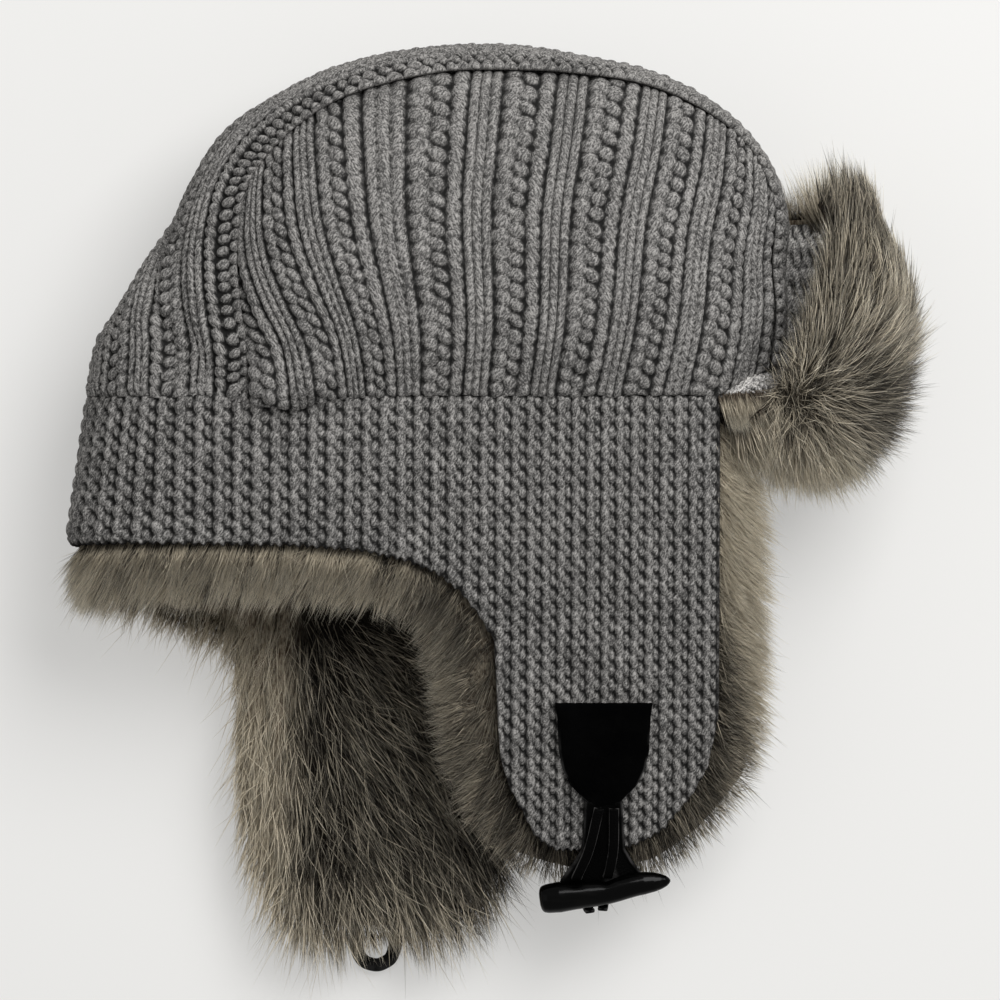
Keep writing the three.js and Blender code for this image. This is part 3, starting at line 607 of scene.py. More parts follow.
def strip_pattern(u, v, middle):
    """Ribs that run along the strip, measured across from its near seam."""
    steps = np.linalg.norm(np.diff(middle, axis=0), axis=-1)
    across = np.concatenate([np.zeros((1, steps.shape[1])), np.cumsum(steps, axis=0)])
    run = np.linalg.norm(np.diff(through(STRIP_RIDGE, u[0]), axis=0), axis=-1)
    along = np.concatenate([[0], np.cumsum(run)])[None, :]
    height, twist = stitches(across + 12.7, along, RIB_PERIOD, STRIP_KNIT)
    return height * (1 + 0.6 * bell(v, 0, ROLL_WIDTH)), twist


def coons(bottom, top, left, right, u, v):
    """A patch that fills four edges: the two ruled surfaces less the one through the corners."""
    zero, one = np.zeros((1, 1)), np.ones((1, 1))
    a, b = u[..., None], v[..., None]
    ruled = (1 - b) * bottom(u) + b * top(u) + (1 - a) * left(v) + a * right(v)
    corners = (1 - a) * (1 - b) * bottom(zero) + a * (1 - b) * bottom(one)
    return ruled - corners - (1 - a) * b * top(zero) - a * b * top(one)


# The shares along the strip's seams where a side panel's upper corners lie
BACK_CORNER = 5.4 / 19
FRONT_CORNER = 15.3 / 19


def seam_edges(seam):
    """The top, the left and the right edge of a side panel, along its seam with the strip."""
    return (
        lambda u: through(seam, lerp(BACK_CORNER, FRONT_CORNER, u)),
        lambda v: through(seam, lerp(0, BACK_CORNER, v)),
        lambda v: through(seam, lerp(1, FRONT_CORNER, v)),
    )


def inset(u, v, left, right, top_back, top_front):
    """Shares drawn in from a panel's edges, so that it ends just short of its seams."""
    top = lerp(top_back, top_front, ramp(u, 0.35, 0.75))
    return lerp(left, 1 - right, u), lerp(0.001, 1 - top, v)


PLEATS = [(-92, 8), (-75, 8)]  # the middle along x and the width of each
OVERHANG = 5.0  # how far the gathers hang over the band
CARRIED_LEVEL = 21.0  # height of the far panel where the front flap carries it


def near_panel_surface(u, v):
    """The right side panel: a patch between its seams that crowns up, gathered at the bottom."""

    def bottom(share):
        x = lerp(-99.0, 109.0, share)
        z = shell(NEAR_FRONT_X - np.minimum(x, NEAR_FRONT_X), 0 * x)[..., 2]
        y = CROWN_SEAM_Y + GAP / 2 + 10.8 * ramp(x, 84, 112)
        return xyz(x, y, lerp(z, 67, ramp(x, 78, 109)))

    u, v = inset(u, v, -0.002, 0.003, 0.0, 0.004)
    point = coons(bottom, *seam_edges(NEAR_SEAM), u, v)
    x = point[..., 0]
    sides = 1 - np.abs(2 * u - 1) ** 4
    lift = CROWN_PILLOW * sides * (1 - np.abs(2 * v - 1) ** 3)
    lift -= SEAM_TUCK * np.maximum(fade(u, 0, 0.05), ramp(v, 0.93, 1) * fade(u, 0.5, 0.8))
    low = ramp(v, 0, 0.05) * fade(v, 0.1, 0.5)
    hang = fade(v, 0, 0.22) * bell(x, -84, 19)
    for at, width in PLEATS:
        lift += PLEAT_RISE * low * bell(x, at, width)
    lip = fade(v, 0, 0.035)
    point[..., 2] += lift + 3.5 * hang + LIP_RISE * lip
    point[..., 1] -= OVERHANG * hang + (1.3 + 1.6 * lumps(u, 0 * v, 52, 1, 4.1)) * lip
    return point


def near_panel_pattern(u, v, middle):
    """Ribs that run up the panel, and lean away from the back seam going down."""
    lean = 0.055 * fade(v, 0, 0.7) * fade(u, 0.11, 0.32)
    return stitches((u - lean) * 212 - 6.75, middle[..., 1], RIB_PERIOD, CROWN_KNIT)


def far_panel_surface(u, v):
    """The left side panel, flat on the surface behind and carried by the front flap in front."""

    def bottom(share):
        x = lerp(-146.0, 86.0, share)
        level = lerp(HALF_WALL, CARRIED_LEVEL, ramp(x, -50, 5))
        z = lerp(lerp(9, level, ramp(x, -146, -110)), 24, ramp(x, 60, 86))
        s = SHELL_LENGTH - (FAR_FRONT_X - np.minimum(x, FAR_FRONT_X)) * 1.01
        return xyz(x, seam_height(s) + GAP / 2 + 21.5 * ramp(x, 30, 86), z)

    u, v = inset(1 - u, v, 0.008, 0.008, 0.012, 0.012)
    point = coons(bottom, *seam_edges(FAR_SEAM), u, v)
    x, y = point[..., 0], point[..., 1]
    level = lerp(HALF_WALL, CARRIED_LEVEL, ramp(x, -50, 5) * fade(y, 135, 160))
    inside = ramp(np.minimum(np.minimum(u, 1 - u), 1 - v), 0, 0.22)
    point[..., 2] = lerp(point[..., 2], level, inside)
    return point


def far_panel_pattern(u, v, middle):
    """Shallow ribs that run straight up, since the panel lies pressed on the surface."""
    height, twist = stitches(middle[..., 0], middle[..., 1], RIB_PERIOD, CROWN_KNIT)
    return 0.5 * height - 0.4, twist


# The band's cross-section where the crown is sewn on, from the near flap's front edge round the
# back to the far flap's, and on past both edges for the lining's rim, as x, y and z
RIM_ROOM = 26.0
SECTION = Track([
    (NEAR_FRONT_X + RIM_ROOM, 0, 82), (NEAR_FRONT_X, 0, 86), (60, 0, 90.5), (10, 0, 93),
    (-50, 0, 93.5), (-100, 0, 91.5), (-130, 0, 85.5), (-150, 0, 73.5), (-160.5, 0, 58),
    (-162.5, 0, 44), (-160.5, 0, 28), (-152, 0, 13), (-136, 0, 5), (-110, 0, HALF_WALL),
    (-60, 0, HALF_WALL), (FAR_FRONT_X, 0, HALF_WALL), (FAR_FRONT_X + RIM_ROOM, 0, HALF_WALL),
], samples=4001)
SECTION_STRETCH = SECTION.length / (SHELL_LENGTH + 2 * RIM_ROOM)


def seam_height(s):
    """Y of the crown seam, which drops on the far side."""
    return CROWN_SEAM_Y - FAR_SEAM_DROP * ramp(s, 265, 410)


def shell(s, t):
    """The band and flaps: s along the crown seam from the near front edge, t down from it."""
    s, t = np.broadcast_arrays(s, t)
    point = SECTION.at((s + RIM_ROOM) * SECTION_STRETCH)
    near, far = fade(s, 190, 255), ramp(s, 300, 385)
    back = ramp(s, 205, 265) * fade(s, 265, 330)
    low = np.maximum(t, 0)
    fall = np.maximum(t - 25, 0) / (FLAP_DEPTH - 25)
    x = point[..., 0] - NAPE_FLARE * back * np.minimum(1, low / 55)
    x -= far * FAR_FLAP_SHEAR * (low / FLAP_DEPTH) ** 1.5
    z = point[..., 2] - near * NEAR_FLAP_DROOP * fall**1.5 / (1 + 0.12 * fall)
    z += far * FAR_FRONT_LIFT * fade(t, 5, 70) * ramp(s, 395, 470)
    z += far * FAR_TIP_LIFT * ramp(t, 70, 100)
    return xyz(x, seam_height(s) - t, z)


def under_shell(s, t, depth):
    """A point at a depth under the band's middle surface, into the hat."""
    step = 0.5
    along = shell(s + step, t) - shell(s - step, t)
    down = shell(s, t + step) - shell(s, t - step)
    return shell(s, t) - unit(np.cross(along, down)) * np.asarray(depth)[..., None]


# How far the band and flaps reach down from the crown seam, by the distance from a front edge
EDGE_DEPTH = [
    (0, 126), (2, 138), (5, 150), (11, 160), (17, 167), (23, 174), (32, 179), (40, FLAP_DEPTH),
    (66, FLAP_DEPTH), (74, 177), (80, 166), (86, 154), (89, 142), (91, 98), (97, 88), (104, 79),
    (114, 71), (126, 66), (144, 62), (170, 60), (SHELL_LENGTH / 2, NAPE_DEPTH),
]

# Width of one garter ridge by the distance from the near front edge
RIDGE_PITCH = [(-40, 5.9), (60, 5.9), (190, 7.7), (520, 8.0)]
PITCH_SAMPLES = 2241
ROW_STEP = 0.78  # between the rows of the band's mesh


def ridge_phase(s):
    """How many ridges lie before s: the sum of one over their width."""
    places = np.linspace(RIDGE_PITCH[0][0], RIDGE_PITCH[-1][0], PITCH_SAMPLES)
    turns = np.cumsum(1 / read(RIDGE_PITCH, places)[0]) * (places[1] - places[0])
    return np.interp(s, places, turns)


def band_pattern(s, t):
    """Garter ridges that run down the band, each of two columns of beads side by side."""
    height, twist = stitches(-ridge_phase(s) * GARTER_PERIOD, -t, GARTER_PERIOD, GARTER_KNIT)
    groove = 0.35 * np.cos(2 * np.pi * (ridge_phase(s) + 0.02))
    return height - np.maximum(groove, 0), twist


def band_edge(s):
    """The lower edge, scalloped by the last stitches of the ridges."""
    depth = read(EDGE_DEPTH, np.minimum(s, SHELL_LENGTH - s))[0]
    return depth + 0.7 * np.cos(4 * np.pi * ridge_phase(s))


# Steps between the columns of the band's mesh: from, to and step along s
COLUMN_STEPS = [(0, 96, 0.62), (96, 250, 0.72), (250, SHELL_LENGTH, 1.5)]
INNER_ROWS = 10
EDGE_ROLL = 2.2  # the width over which the band rounds over at its edges


def make_band_mesh():
    """Front columns of vertices at an even step down to the edge, so neighbouring columns differ in
    length: quads join what two columns share, fans the rest. The back has the same columns, evenly
    divided. Returns points, faces, crest values and twist values."""
    s = np.concatenate([np.arange(*steps) for steps in COLUMN_STEPS] + [[SHELL_LENGTH]])[:, None]
    depth = band_edge(s)
    counts = (np.ceil((depth - GAP / 2) / ROW_STEP).astype(int) + 1).ravel()
    most = counts.max()
    rows = np.minimum(np.arange(most), counts[:, None] - 1)
    t = np.minimum(GAP / 2 + rows * ROW_STEP, depth)
    middle = shell(s, t)
    normal = under_shell(s, t, -np.ones(t.shape)) - middle
    height, twist = band_pattern(s, t)
    edge = np.minimum(np.minimum(t - GAP / 2, depth - t), np.minimum(s, SHELL_LENGTH - s))
    roll = np.sqrt(np.clip(edge / EDGE_ROLL, 0, 1))
    rise = HALF_WALL * lerp(0.1, 1, roll) + height * lerp(0.3, 1, roll)
    front = middle + normal * rise[..., None]
    keep = np.arange(most) < counts[:, None]
    index = np.cumsum(keep.ravel()).reshape(keep.shape) - 1
    both = np.minimum(counts[:-1], counts[1:])
    level = np.arange(most - 1)[None, :]
    column, row = np.nonzero(level < (both - 1)[:, None])
    quads = np.stack([index[column, row], index[column + 1, row],
                      index[column + 1, row + 1], index[column, row + 1]], -1)
    fans = []
    for here, there, flip in ((0, 1, False), (1, 0, True)):
        long = counts[here:len(counts) - there] - 1
        extra = (level >= (both - 1)[:, None]) & (level < long[:, None])
        column, row = np.nonzero(extra)
        fan = np.stack([index[column + here, row], index[column + there, both[column] - 1],
                        index[column + here, row + 1]], -1)
        fans.append(fan[:, ::-1] if flip else fan)
    inner_t = lerp(GAP / 2, depth, evenly(INNER_ROWS))
    inner = under_shell(s, inner_t, HALF_WALL * np.ones(inner_t.shape))
    inside = numbered(int(keep.sum()), inner_t.shape)
    lowest = index[np.arange(len(s)), counts - 1]
    sides = [
        bridge(index[:, 0], inside[:, 0]),
        bridge(index[-1, :counts[-1]], inside[-1, :]),
        bridge(lowest[::-1], inside[::-1, -1]),
        bridge(index[0, :counts[0]][::-1], inside[0, ::-1]),
    ]
    points = np.concatenate([front[keep], inner.reshape(-1, 3)])
    # Painted shade: the crest value is cut near the band's edges, where its wall rounds over, so
    # they darken.
    shown = crest_share(height) * lerp(0.2, 1, ramp(edge, 0.2, 1.3))
    crest = np.concatenate([shown[keep], np.zeros(inner_t.size)])
    twist = np.concatenate([twist[keep], np.full(inner_t.size, PLAIN)])
    return points, [quads, *fans, grid_faces(inside), *sides], crest, twist


# The lining's pile: share along, top s, edge s, edge t
LINING = [
    (0, 3, -13, 34), (0.035, 6, -16, 60), (0.12, 16, -17, 138), (0.15, 24, -12, 160),
    (0.18, 32, 4, 180), (0.21, 42, 24, 194), (0.245, 54, 52, 199), (0.28, 66, 80, 193),
    (0.31, 76, 99, 175),
    (0.335, 86, 109, 150), (0.365, 96, 112, 116), (0.385, 108, 120, 95), (0.4, 122, 131, 85),
    (0.42, 146, 152, 81), (0.46, 188, 190, 80), (0.5, 238, 238, 79),
]
LINING_TOP = 5.0
LINING_GAP = 1.15  # between the band's wall and the lining's back
RIM_SINK = 5.0  # how much deeper that back lies at the pile's rim
UNDERPILE_INSET = 5.0  # how far inside the hairs' rim the underpile ends
HIDDEN_RIM = 0.625  # the share along from which the rim lies under the hat
# How far the pile's rim is drawn in on the far flap's back edge, by the share along
DRAWN_IN = [
    (0.57, 0), (0.6, 1), (0.61, 5), (0.62, 12), (0.632, 19), (0.652, 19), (0.665, 14), (0.677, 8),
    (0.69, 2), (0.72, -4), (0.76, -4), (0.8, -7), (0.85, -7), (0.9, 0),
]


def lining_place(u, v, reach=0.0):
    """The shell's s and t at u round the hat and v from the crown seam to the pile's rim, which a
    reach moves out."""
    u, v = np.broadcast_arrays(u, v)
    mirrored = u > 0.5
    top, edge_s, edge_t = read(LINING, np.where(mirrored, 1 - u, u))
    grown = 1 + reach / np.hypot(edge_s - top, edge_t - LINING_TOP)
    s = top + (edge_s - top) * grown * v
    t = LINING_TOP + (edge_t - LINING_TOP) * grown * v
    return np.where(mirrored, SHELL_LENGTH - s, s), t


def lining_point(u, v, share, reach=0.0):
    """A point of the pile at a share of its depth."""
    inside = np.clip(v, 0, 1)
    reach = reach - read(DRAWN_IN, u)[0]
    body = np.minimum(1, 4 * v + 0.15) * (1 - 0.78 * inside**5)
    depth = HALF_WALL + LINING_GAP + RIM_SINK * inside**6 + PILE * body * share
    return under_shell(*lining_place(u, v, reach), depth + 0 * u)


OUTLINE_POINTS = (700, 60)  # along the band's lower edge and down each front edge
PLACES_AT_ONCE = 4000  # so that the table of distances stays small


def off_knit(s, t):
    """How far a place in s and t is outside the band's outline, negative inside, and the way
    there from the outline's nearest point, in the hat's X and Y."""
    run = np.linspace(0, SHELL_LENGTH, OUTLINE_POINTS[0])
    sides = np.linspace(-20, EDGE_DEPTH[0][1], OUTLINE_POINTS[1])
    line = np.concatenate([
        np.stack([0 * sides, sides], -1),
        np.stack([run, read(EDGE_DEPTH, np.minimum(run, SHELL_LENGTH - run))[0]], -1),
        np.stack([0 * sides + SHELL_LENGTH, sides[::-1]], -1),
    ])
    place = np.stack([s.ravel(), t.ravel()], -1)
    nearest = np.concatenate([
        line[np.linalg.norm(part[:, None] - line[None], axis=-1).argmin(1)]
        for part in np.array_split(place, 1 + len(place) // PLACES_AT_ONCE)
    ])
    depth = read(EDGE_DEPTH, np.minimum(place[:, 0], SHELL_LENGTH - place[:, 0]))[0]
    within = (place[:, 0] > 0) & (place[:, 0] < SHELL_LENGTH) & (place[:, 1] < depth)
    sign = np.where(within, -1.0, 1.0)
    away = (place - nearest) * sign[:, None]
    distance = sign * np.linalg.norm(away, axis=1)
    away = -unit(away)
    away[:, 0] *= np.where(place[:, 0] > SHELL_LENGTH / 2, -1.0, 1.0)
    return distance.reshape(s.shape), np.concatenate([away, 0 * away[:, :1]], -1)


def hollow_painted_light(points):
    """Painted light and shade on the pile inside the far flap: dark in the hollow, as painted
    shade, and pale at its open back edge and tip, as painted light.
    """
    x, y = points[..., 0], points[..., 1]
    tone = 1.3 * fade(x, -98, -72) + 0.6 * fade(y, -180, -135) + 0.06
    return tone + 0.14 * ramp(y, -120, -90) * ramp(x, -66, -46)


def in_far_flap(points):
    """1 where the lining shows, from the hollow down to the far flap's tip, and 0 elsewhere."""
    return fade(points[..., 1], -46, -36) * fade(points[..., 0], 0, 8)


def lumps(u, v, across, down, salt):
    """Smooth lumps of -0.5 to 0.5: fixed numbers on a lattice, blended by smooth steps."""
    x, y = u * across, v * down
    i, j = np.floor(x), np.floor(y)
    a, b = ramp(x - i, 0, 1), ramp(y - j, 0, 1)
    low = lerp(scatter_numbers(i, j, salt), scatter_numbers(i + 1, j, salt), a)
    high = lerp(scatter_numbers(i, j + 1, salt), scatter_numbers(i + 1, j + 1, salt), a)
    return lerp(low, high, b) - 0.5


# The front flap, turned up round the forehead, from its near end to its far end: share, where it
# leaves the crown, its fold, its middle and its top edge as x, y and z, and the depth of its pile
FRONT_FLAP = np.array([
    [0, 94, 42, 83, 106, 38, 84, 123, 78, 85, 132, 113, 81, FRONT_PILE],
    [0.1, 105, 47, 76, 118, 34, 77, 137, 72, 79, 141, 116, 75, FRONT_PILE],
    [0.2, 112, 49, 65, 126, 33, 65, 143, 70, 66, 143, 117, 63, FRONT_PILE],
    [0.3, 114, 49, 50, 129, 32, 49, 146, 70, 49, 142, 117, 47, FRONT_PILE - 1],
    [0.4, 111, 48, 35, 124, 31, 33, 140, 70, 31, 137, 116, 30, 17],
    [0.5, 103, 41, 26, 111, 26, 20, 124, 71, 18, 123, 115, 18, 13],
    [0.6, 88, 20, 18, 92, 27, 16, 103, 72, 16, 106, 114, 16, PRESSED_PILE],
    [0.8, 50, 15, 16, 52, 23, 16, 57, 72, 16, 60, 112, 16, PRESSED_PILE],
    [1, 12, 13, 16, 12, 20, 16, 13, 70, 16, 14, 109, 16, PRESSED_PILE],
])
FRONT_SIDE_REACH = 20.0
# Share of that reach by the share up the pile: the knit backing shows over its middle
SIDE_REACH = [(0, 0.45), (0.25, 0.45), (0.5, 0.1), (0.85, 0.1), (1, 0.6)]
FRONT_BACKING = HALF_WALL + 3 * GAP
FRONT_FROM = 0.2
FRONT_TUCK = -0.08
# How much paler the front flap's knitting is painted, as painted light, since it lies in the shade
# of the crown and pile
FRONT_WOOL_PAINTED_LIGHT = 2.3
WHORL = np.array([118.0, 47.0, 84.0])  # where the front pile's hairs fan out from


def front_surface(u, v):
    """A curve up through root, fold, middle and top at each u, run straight on past its ends."""
    u, v = np.broadcast_arrays(u, v)
    lines = [through(FRONT_FLAP[:, first:first + 3], u) for first in (1, 4, 7, 10)]
    stops = np.stack(lines, -2)
    point = through(stops, v)
    past = (np.minimum(v, 0) + np.maximum(v - 1, 0))[..., None]
    inside = np.clip(v, 0, 1)
    step = 0.01
    tangent = (through(stops, np.minimum(inside + step, 1))
               - through(stops, np.maximum(inside - step, 0)))
    length = np.linalg.norm(np.diff(stops, axis=-2), axis=-1).sum(-1)[..., None]
    return point + unit(tangent) * past * length


def front_out(u, v):
    """Unit normals of the front flap, out from the hat."""
    step = 2e-3
    along = front_surface(u + step, v) - front_surface(u - step, v)
    up = front_surface(u, v + step) - front_surface(u, v - step)
    return unit(np.cross(along, up))


def front_pile(u, v, share):
    """The front flap's pile: out from its backing by a share of the depth, rounded at the fold and
    the top, and carried round the near end towards the back."""
    u, v = np.broadcast_arrays(u, v)
    pile = np.interp(u, FRONT_FLAP[:, 0], FRONT_FLAP[:, 13])
    ends = np.minimum(1, 1.6 * np.sqrt(np.clip(2 * np.minimum(v, 1 - v), 0, None)))
    near_end = fade(u, 0, 0.16)
    top = 1.13 - 0.06 * ramp(u, 0.08, 0.2) - 0.05 * ramp(u, 0.36, 0.48)
    high = lerp(FRONT_FROM - 0.03 - 0.1 * near_end, top, v)
    inside = np.clip(high, 0, 1)
    side = unit(front_surface(u + 0.01, inside) - front_surface(u, inside))
    reach = FRONT_SIDE_REACH * near_end * read(SIDE_REACH, v)[0]
    rounded = 1 - 0.25 * ramp(v, 0.55, 0.95) * ramp(u, 0.1, 0.2)
    deep = np.maximum(0.6, pile * share * ends * rounded * (1 - 0.55 * near_end))
    point = front_surface(u, high) - side * reach[..., None]
    point = point + front_out(u, inside) * (FRONT_BACKING + deep)[..., None]
    point[..., 2] = np.maximum(point[..., 2], 0.3)
    return point


# Hairs

HAIR_CORNERS = 3
HAIR_RADIUS = 0.17
# The heights over the surface that a hair's tip, its middle and any point of it keep
TIP_FLOOR = 0.5
MIDDLE_FLOOR = 0.6
HAIR_FLOOR = 0.2


def scatter(points, density, count, rng):
    """Random places on a grid of points, by area times density: the places, their normals, and
    their shares across and down the grid."""
    along = points[:-1, 1:] - points[:-1, :-1]
    down = points[1:, :-1] - points[:-1, :-1]
    weight = np.linalg.norm(np.cross(along, down), axis=-1) * density[:-1, :-1]
    chosen = rng.choice(weight.size, count, p=(weight / weight.sum()).ravel())
    row, column = np.divmod(chosen, weight.shape[1])
    a, b = rng.random(count), rng.random(count)

    def mix(grid):
        low = lerp(grid[row, column], grid[row, column + 1], a[:, None])
        high = lerp(grid[row + 1, column], grid[row + 1, column + 1], a[:, None])
        return lerp(low, high, b[:, None])

    rows, columns = points.shape[:2]
    across, down = (column + a) / (columns - 1), (row + b) / (rows - 1)
    return mix(points), unit(mix(outward(points))), across, down


def gather(points, cell, pull):
    """Draws points towards the mean of their cell, as hairs draw together into locks."""
    size = np.maximum(np.bincount(cell), 1)
    mean = np.stack([np.bincount(cell, column) / size for column in points.T], -1)
    return lerp(points, mean[cell], pull[:, None])


def hairs(roots, normals, lay, length, radius, rise, locks, tone, contrast, rng, bent=False):
    """Joined tapered hairs, each a three-sided spike whose tip lies over along lay, and which bends
    at its middle if it is a bent one. The hairs of one lock draw together and share a tone. Returns
    points, faces and the values along the hair and for its tone."""
    count = len(roots)
    cells = np.unique(locks, return_inverse=True)[1]
    shared = rng.standard_normal((cells.max() + 1, 4))[cells]
    lay = unit(lay + 0.12 * shared[:, :3] + 0.13 * rng.standard_normal((count, 3)))
    lean = unit(lay + rise * normals)
    length = length * rng.uniform(0.65, 1.15, count)
    tip = roots + length[:, None] * unit(lean - 0.1 * normals)
    pull = rng.uniform(0.05, 0.55, count)
    tip = gather(tip, cells, pull)
    tip[:, 2] = np.maximum(tip[:, 2], TIP_FLOOR)
    axis = unit(tip - roots)
    side = unit(np.cross(axis, normals + 0.01))
    other = np.cross(axis, side)
    turn = rng.uniform(0, 2 * np.pi, (count, 1))
    turn = turn + 2 * np.pi * np.arange(HAIR_CORNERS) / HAIR_CORNERS
    ring = np.cos(turn)[..., None] * side[:, None] + np.sin(turn)[..., None] * other[:, None]
    ring = ring * (radius * rng.uniform(0.7, 1.25, count))[:, None, None]
    levels, along = [roots[:, None] + ring], [0, 0, 0]
    if bent:
        middle = roots + (0.5 * length)[:, None] * unit(lean + 0.4 * normals)
        middle = gather(middle, cells, 0.45 * pull)
        middle[:, 2] = np.maximum(middle[:, 2], MIDDLE_FLOOR)
        levels.append(middle[:, None] + 0.8 * ring)
        along = along + [0.5, 0.5, 0.5]
    points = np.concatenate([*levels, tip[:, None]], 1)
    points[..., 2] = np.maximum(points[..., 2], HAIR_FLOOR)
    top, along = len(along) - HAIR_CORNERS, along + [1.0]
    pairs = [(i, (i + 1) % HAIR_CORNERS) for i in range(HAIR_CORNERS)]
    sides = [[i, j, j + top, i + top] for i, j in pairs][:top]
    ends = [[top + i, top + j, top + HAIR_CORNERS] for i, j in pairs] + [[0, 2, 1]]
    each = (np.arange(count) * len(along))[:, None, None]
    faces = [(each + np.array(part, int)).reshape(-1, corners)
             for part, corners in ((sides, 4), (ends, 3))]
    tone = np.clip(tone + contrast * (0.06 * shared[:, 3] + rng.normal(0, 0.15, count)), 0.02, 1)
    return points.reshape(-1, 3), faces, np.tile(along, count), np.repeat(tone, len(along))


def make_hairs(name, finish, *args):
    """A piece of hairs, from what hairs() takes."""
    points, faces, along, tone = hairs(*args)
    make_piece(name, points, faces, finish, "fur", along=along, tone=tone)


def lean_to(lay, share, *direction):
    """Directions with a share of another one added to each."""
    return lay + share[:, None] * np.array(direction)


def lock_cells(u, v, across, down, rng):
    """The number of the lock that each hair belongs to: a lattice of shares with ragged borders."""
    i = np.floor(u * across + rng.normal(0, 0.18, len(u)))
    j = np.floor(v * down + rng.normal(0, 0.18, len(v)) + 0.5 * (i % 2))
    return (i * 1000 + j).astype(int)


# Trims

# Half width down a patch, as a share of PATCH_WIDTH / 2, and down a tongue, in millimetres
PATCH_HALF = [
    (0, 1), (0.12, 0.96), (0.45, 0.93), (0.62, 0.85), (0.78, 0.68), (0.9, 0.42), (1, 0.16),
]
TONGUE_HALF = [(0, 7.5), (0.48, 8.6), (0.61, 11.5), (0.7, 14.5), (0.8, 17.5), (1, 17)]
TOGGLE = {"x": 43.2, "y": -152.5, "z": 45.0, "tilt": -0.15}
TOGGLE_GIRTH = [
    (0, 0.35), (0.006, 0.6), (0.015, 0.77), (0.03, 0.87), (0.06, 0.94), (0.15, 1), (0.3, 0.92),
    (0.5, 0.82), (0.7, 0.78), (0.8, 0.74), (0.88, 0.63), (0.93, 0.5), (0.97, 0.34), (0.99, 0.19),
    (1, 0.06),
]
NOTCH_DEPTH = 0.9  # where a strap turns over the toggle's upper edge
NOTCH_WIDTH = 2.6
# Straps: name, where it starts along x, and the shares of the toggle's length where it meets the
# upper edge and leaves the lower one
STRAPS = [("strap_near_rear", 39.0, 0.28, 0.385), ("strap_near_front", 45.0, 0.52, 0.48)]
LOOP = {"x": -49.0, "root": -161.5, "bottom": -183.6, "reach": 7.8}


def patch_grids(middle_s):
    """A shield-shaped patch on the knitting: flat on top, rounded over at its edge. Returns its
    front and back grids, and where its front takes a painted highlight along the edge."""
    u, v = shares(61, 71)
    half = read(PATCH_HALF, v)[0] * PATCH_WIDTH / 2
    across = (2 * u - 1) * half
    edge = np.minimum((1 - np.abs(2 * u - 1)) * half, np.minimum(v, 1 - v) * PATCH_LENGTH)
    round_over = np.sqrt(np.clip(edge / 1.3, 0, 1))
    nap = 0.25 * lumps(u, v, 9, 9, 3.3) - 0.45 * fade(edge, 1.2, 2.6) * ramp(edge, 0.6, 1.4)
    thick = PATCH_THICKNESS * round_over + nap
    s, t = middle_s - across, PATCH_TOP + v * PATCH_LENGTH + 0 * u
    front = under_shell(s, t, -(ON_KNIT + thick))
    s, t = s[::10, ::10], t[::10, ::10]
    back = under_shell(s, t, -(ON_KNIT - 1.2) * np.ones(t.shape))
    return front, back, fade(edge, 0.3, 0.9) * ramp(v, 0.2, 0.5)


def tongue_grids(middle_s, length, spread, hidden):
    """A leather tongue that spreads like a bell, with soft folds down its length, and runs on by
    its hidden part, which sinks under the toggle. Returns what patch_grids returns."""
    u, v = shares(49, 49)
    half = read(TONGUE_HALF, v)[0] * spread
    across = (2 * u - 1) * half
    folds = 0.8 * ramp(v, 0.1, 0.6) * np.cos(3 * np.pi * u + 0.6) + 0.5 * lumps(u, v, 5, 4, 9.1)
    edge = np.minimum((1 - np.abs(2 * u - 1)) * half, (1 - v) * length)
    thick = STRAP_THICKNESS * np.sqrt(np.clip(edge / 1.0, 0, 1)) + folds * ramp(edge, 0, 2)
    s = middle_s - across
    t = PATCH_TOP + PATCH_LENGTH - 3 + v * (length + 4 + hidden) + 0 * u
    sunk = 0.4 * hidden * ramp(v, 0.8, 1) + 0 * u
    front = under_shell(s, t, sunk - (ON_KNIT - 0.6 + thick))
    back = under_shell(s[::8, ::8], t[::8, ::8], sunk[::8, ::8] - (ON_KNIT - 1.6))
    # Painted highlight along the tongue's edges and the crests of its folds
    painted_highlight = 0.35 * fade(edge, 0.3, 1) + 0.25 * ramp(folds, 0.55, 0.95)
    return front, back, painted_highlight * fade(v, 0.7, 0.9)


def sweep(path, steps, sides, section, up=(0.0, 0.0, 1.0)):
    """A closed body carried along a path: each ring is the section's half width and half depth at
    its share along, turned round the path, and a point closes each end."""
    share = evenly(steps + 1)
    centre = path.at(share * path.length)
    along = unit(np.gradient(centre, axis=0))
    across = unit(np.cross(along, np.array(up)))
    over = np.cross(across, along)
    angle = 2 * np.pi * np.arange(sides) / sides
    wide, deep = section(share[:, None], angle[None, :])
    ring = centre[:, None] + across[:, None] * wide[..., None] + over[:, None] * deep[..., None]
    index = numbered(0, (steps + 1, sides))
    turned = np.roll(index, -1, 1)
    quads = np.stack([index[:-1], index[1:], turned[1:], turned[:-1]], -1).reshape(-1, 4)
    start = np.stack([np.full(sides, index.size), index[0], turned[0]], -1)
    end = np.stack([np.full(sides, index.size + 1), turned[-1], index[-1]], -1)
    points = np.concatenate([ring.reshape(-1, 3), centre[:1], centre[-1:]])
    return points, [quads, start, end]


def toggle_track():
    """The toggle's middle line, slightly bowed, from its rear end to its front end."""
    reach = TOGGLE_LENGTH / 2
    stops = np.array([-1, -0.5, 0, 0.5, 1])
    bow = np.array([0.5, 0.2, -0.4, 0.8, 0.3])
    x = TOGGLE["x"] + np.cos(TOGGLE["tilt"]) * reach * stops
    y = TOGGLE["y"] - np.sin(TOGGLE["tilt"]) * reach * stops + bow
    return Track(xyz(x, y, TOGGLE["z"]), samples=401)


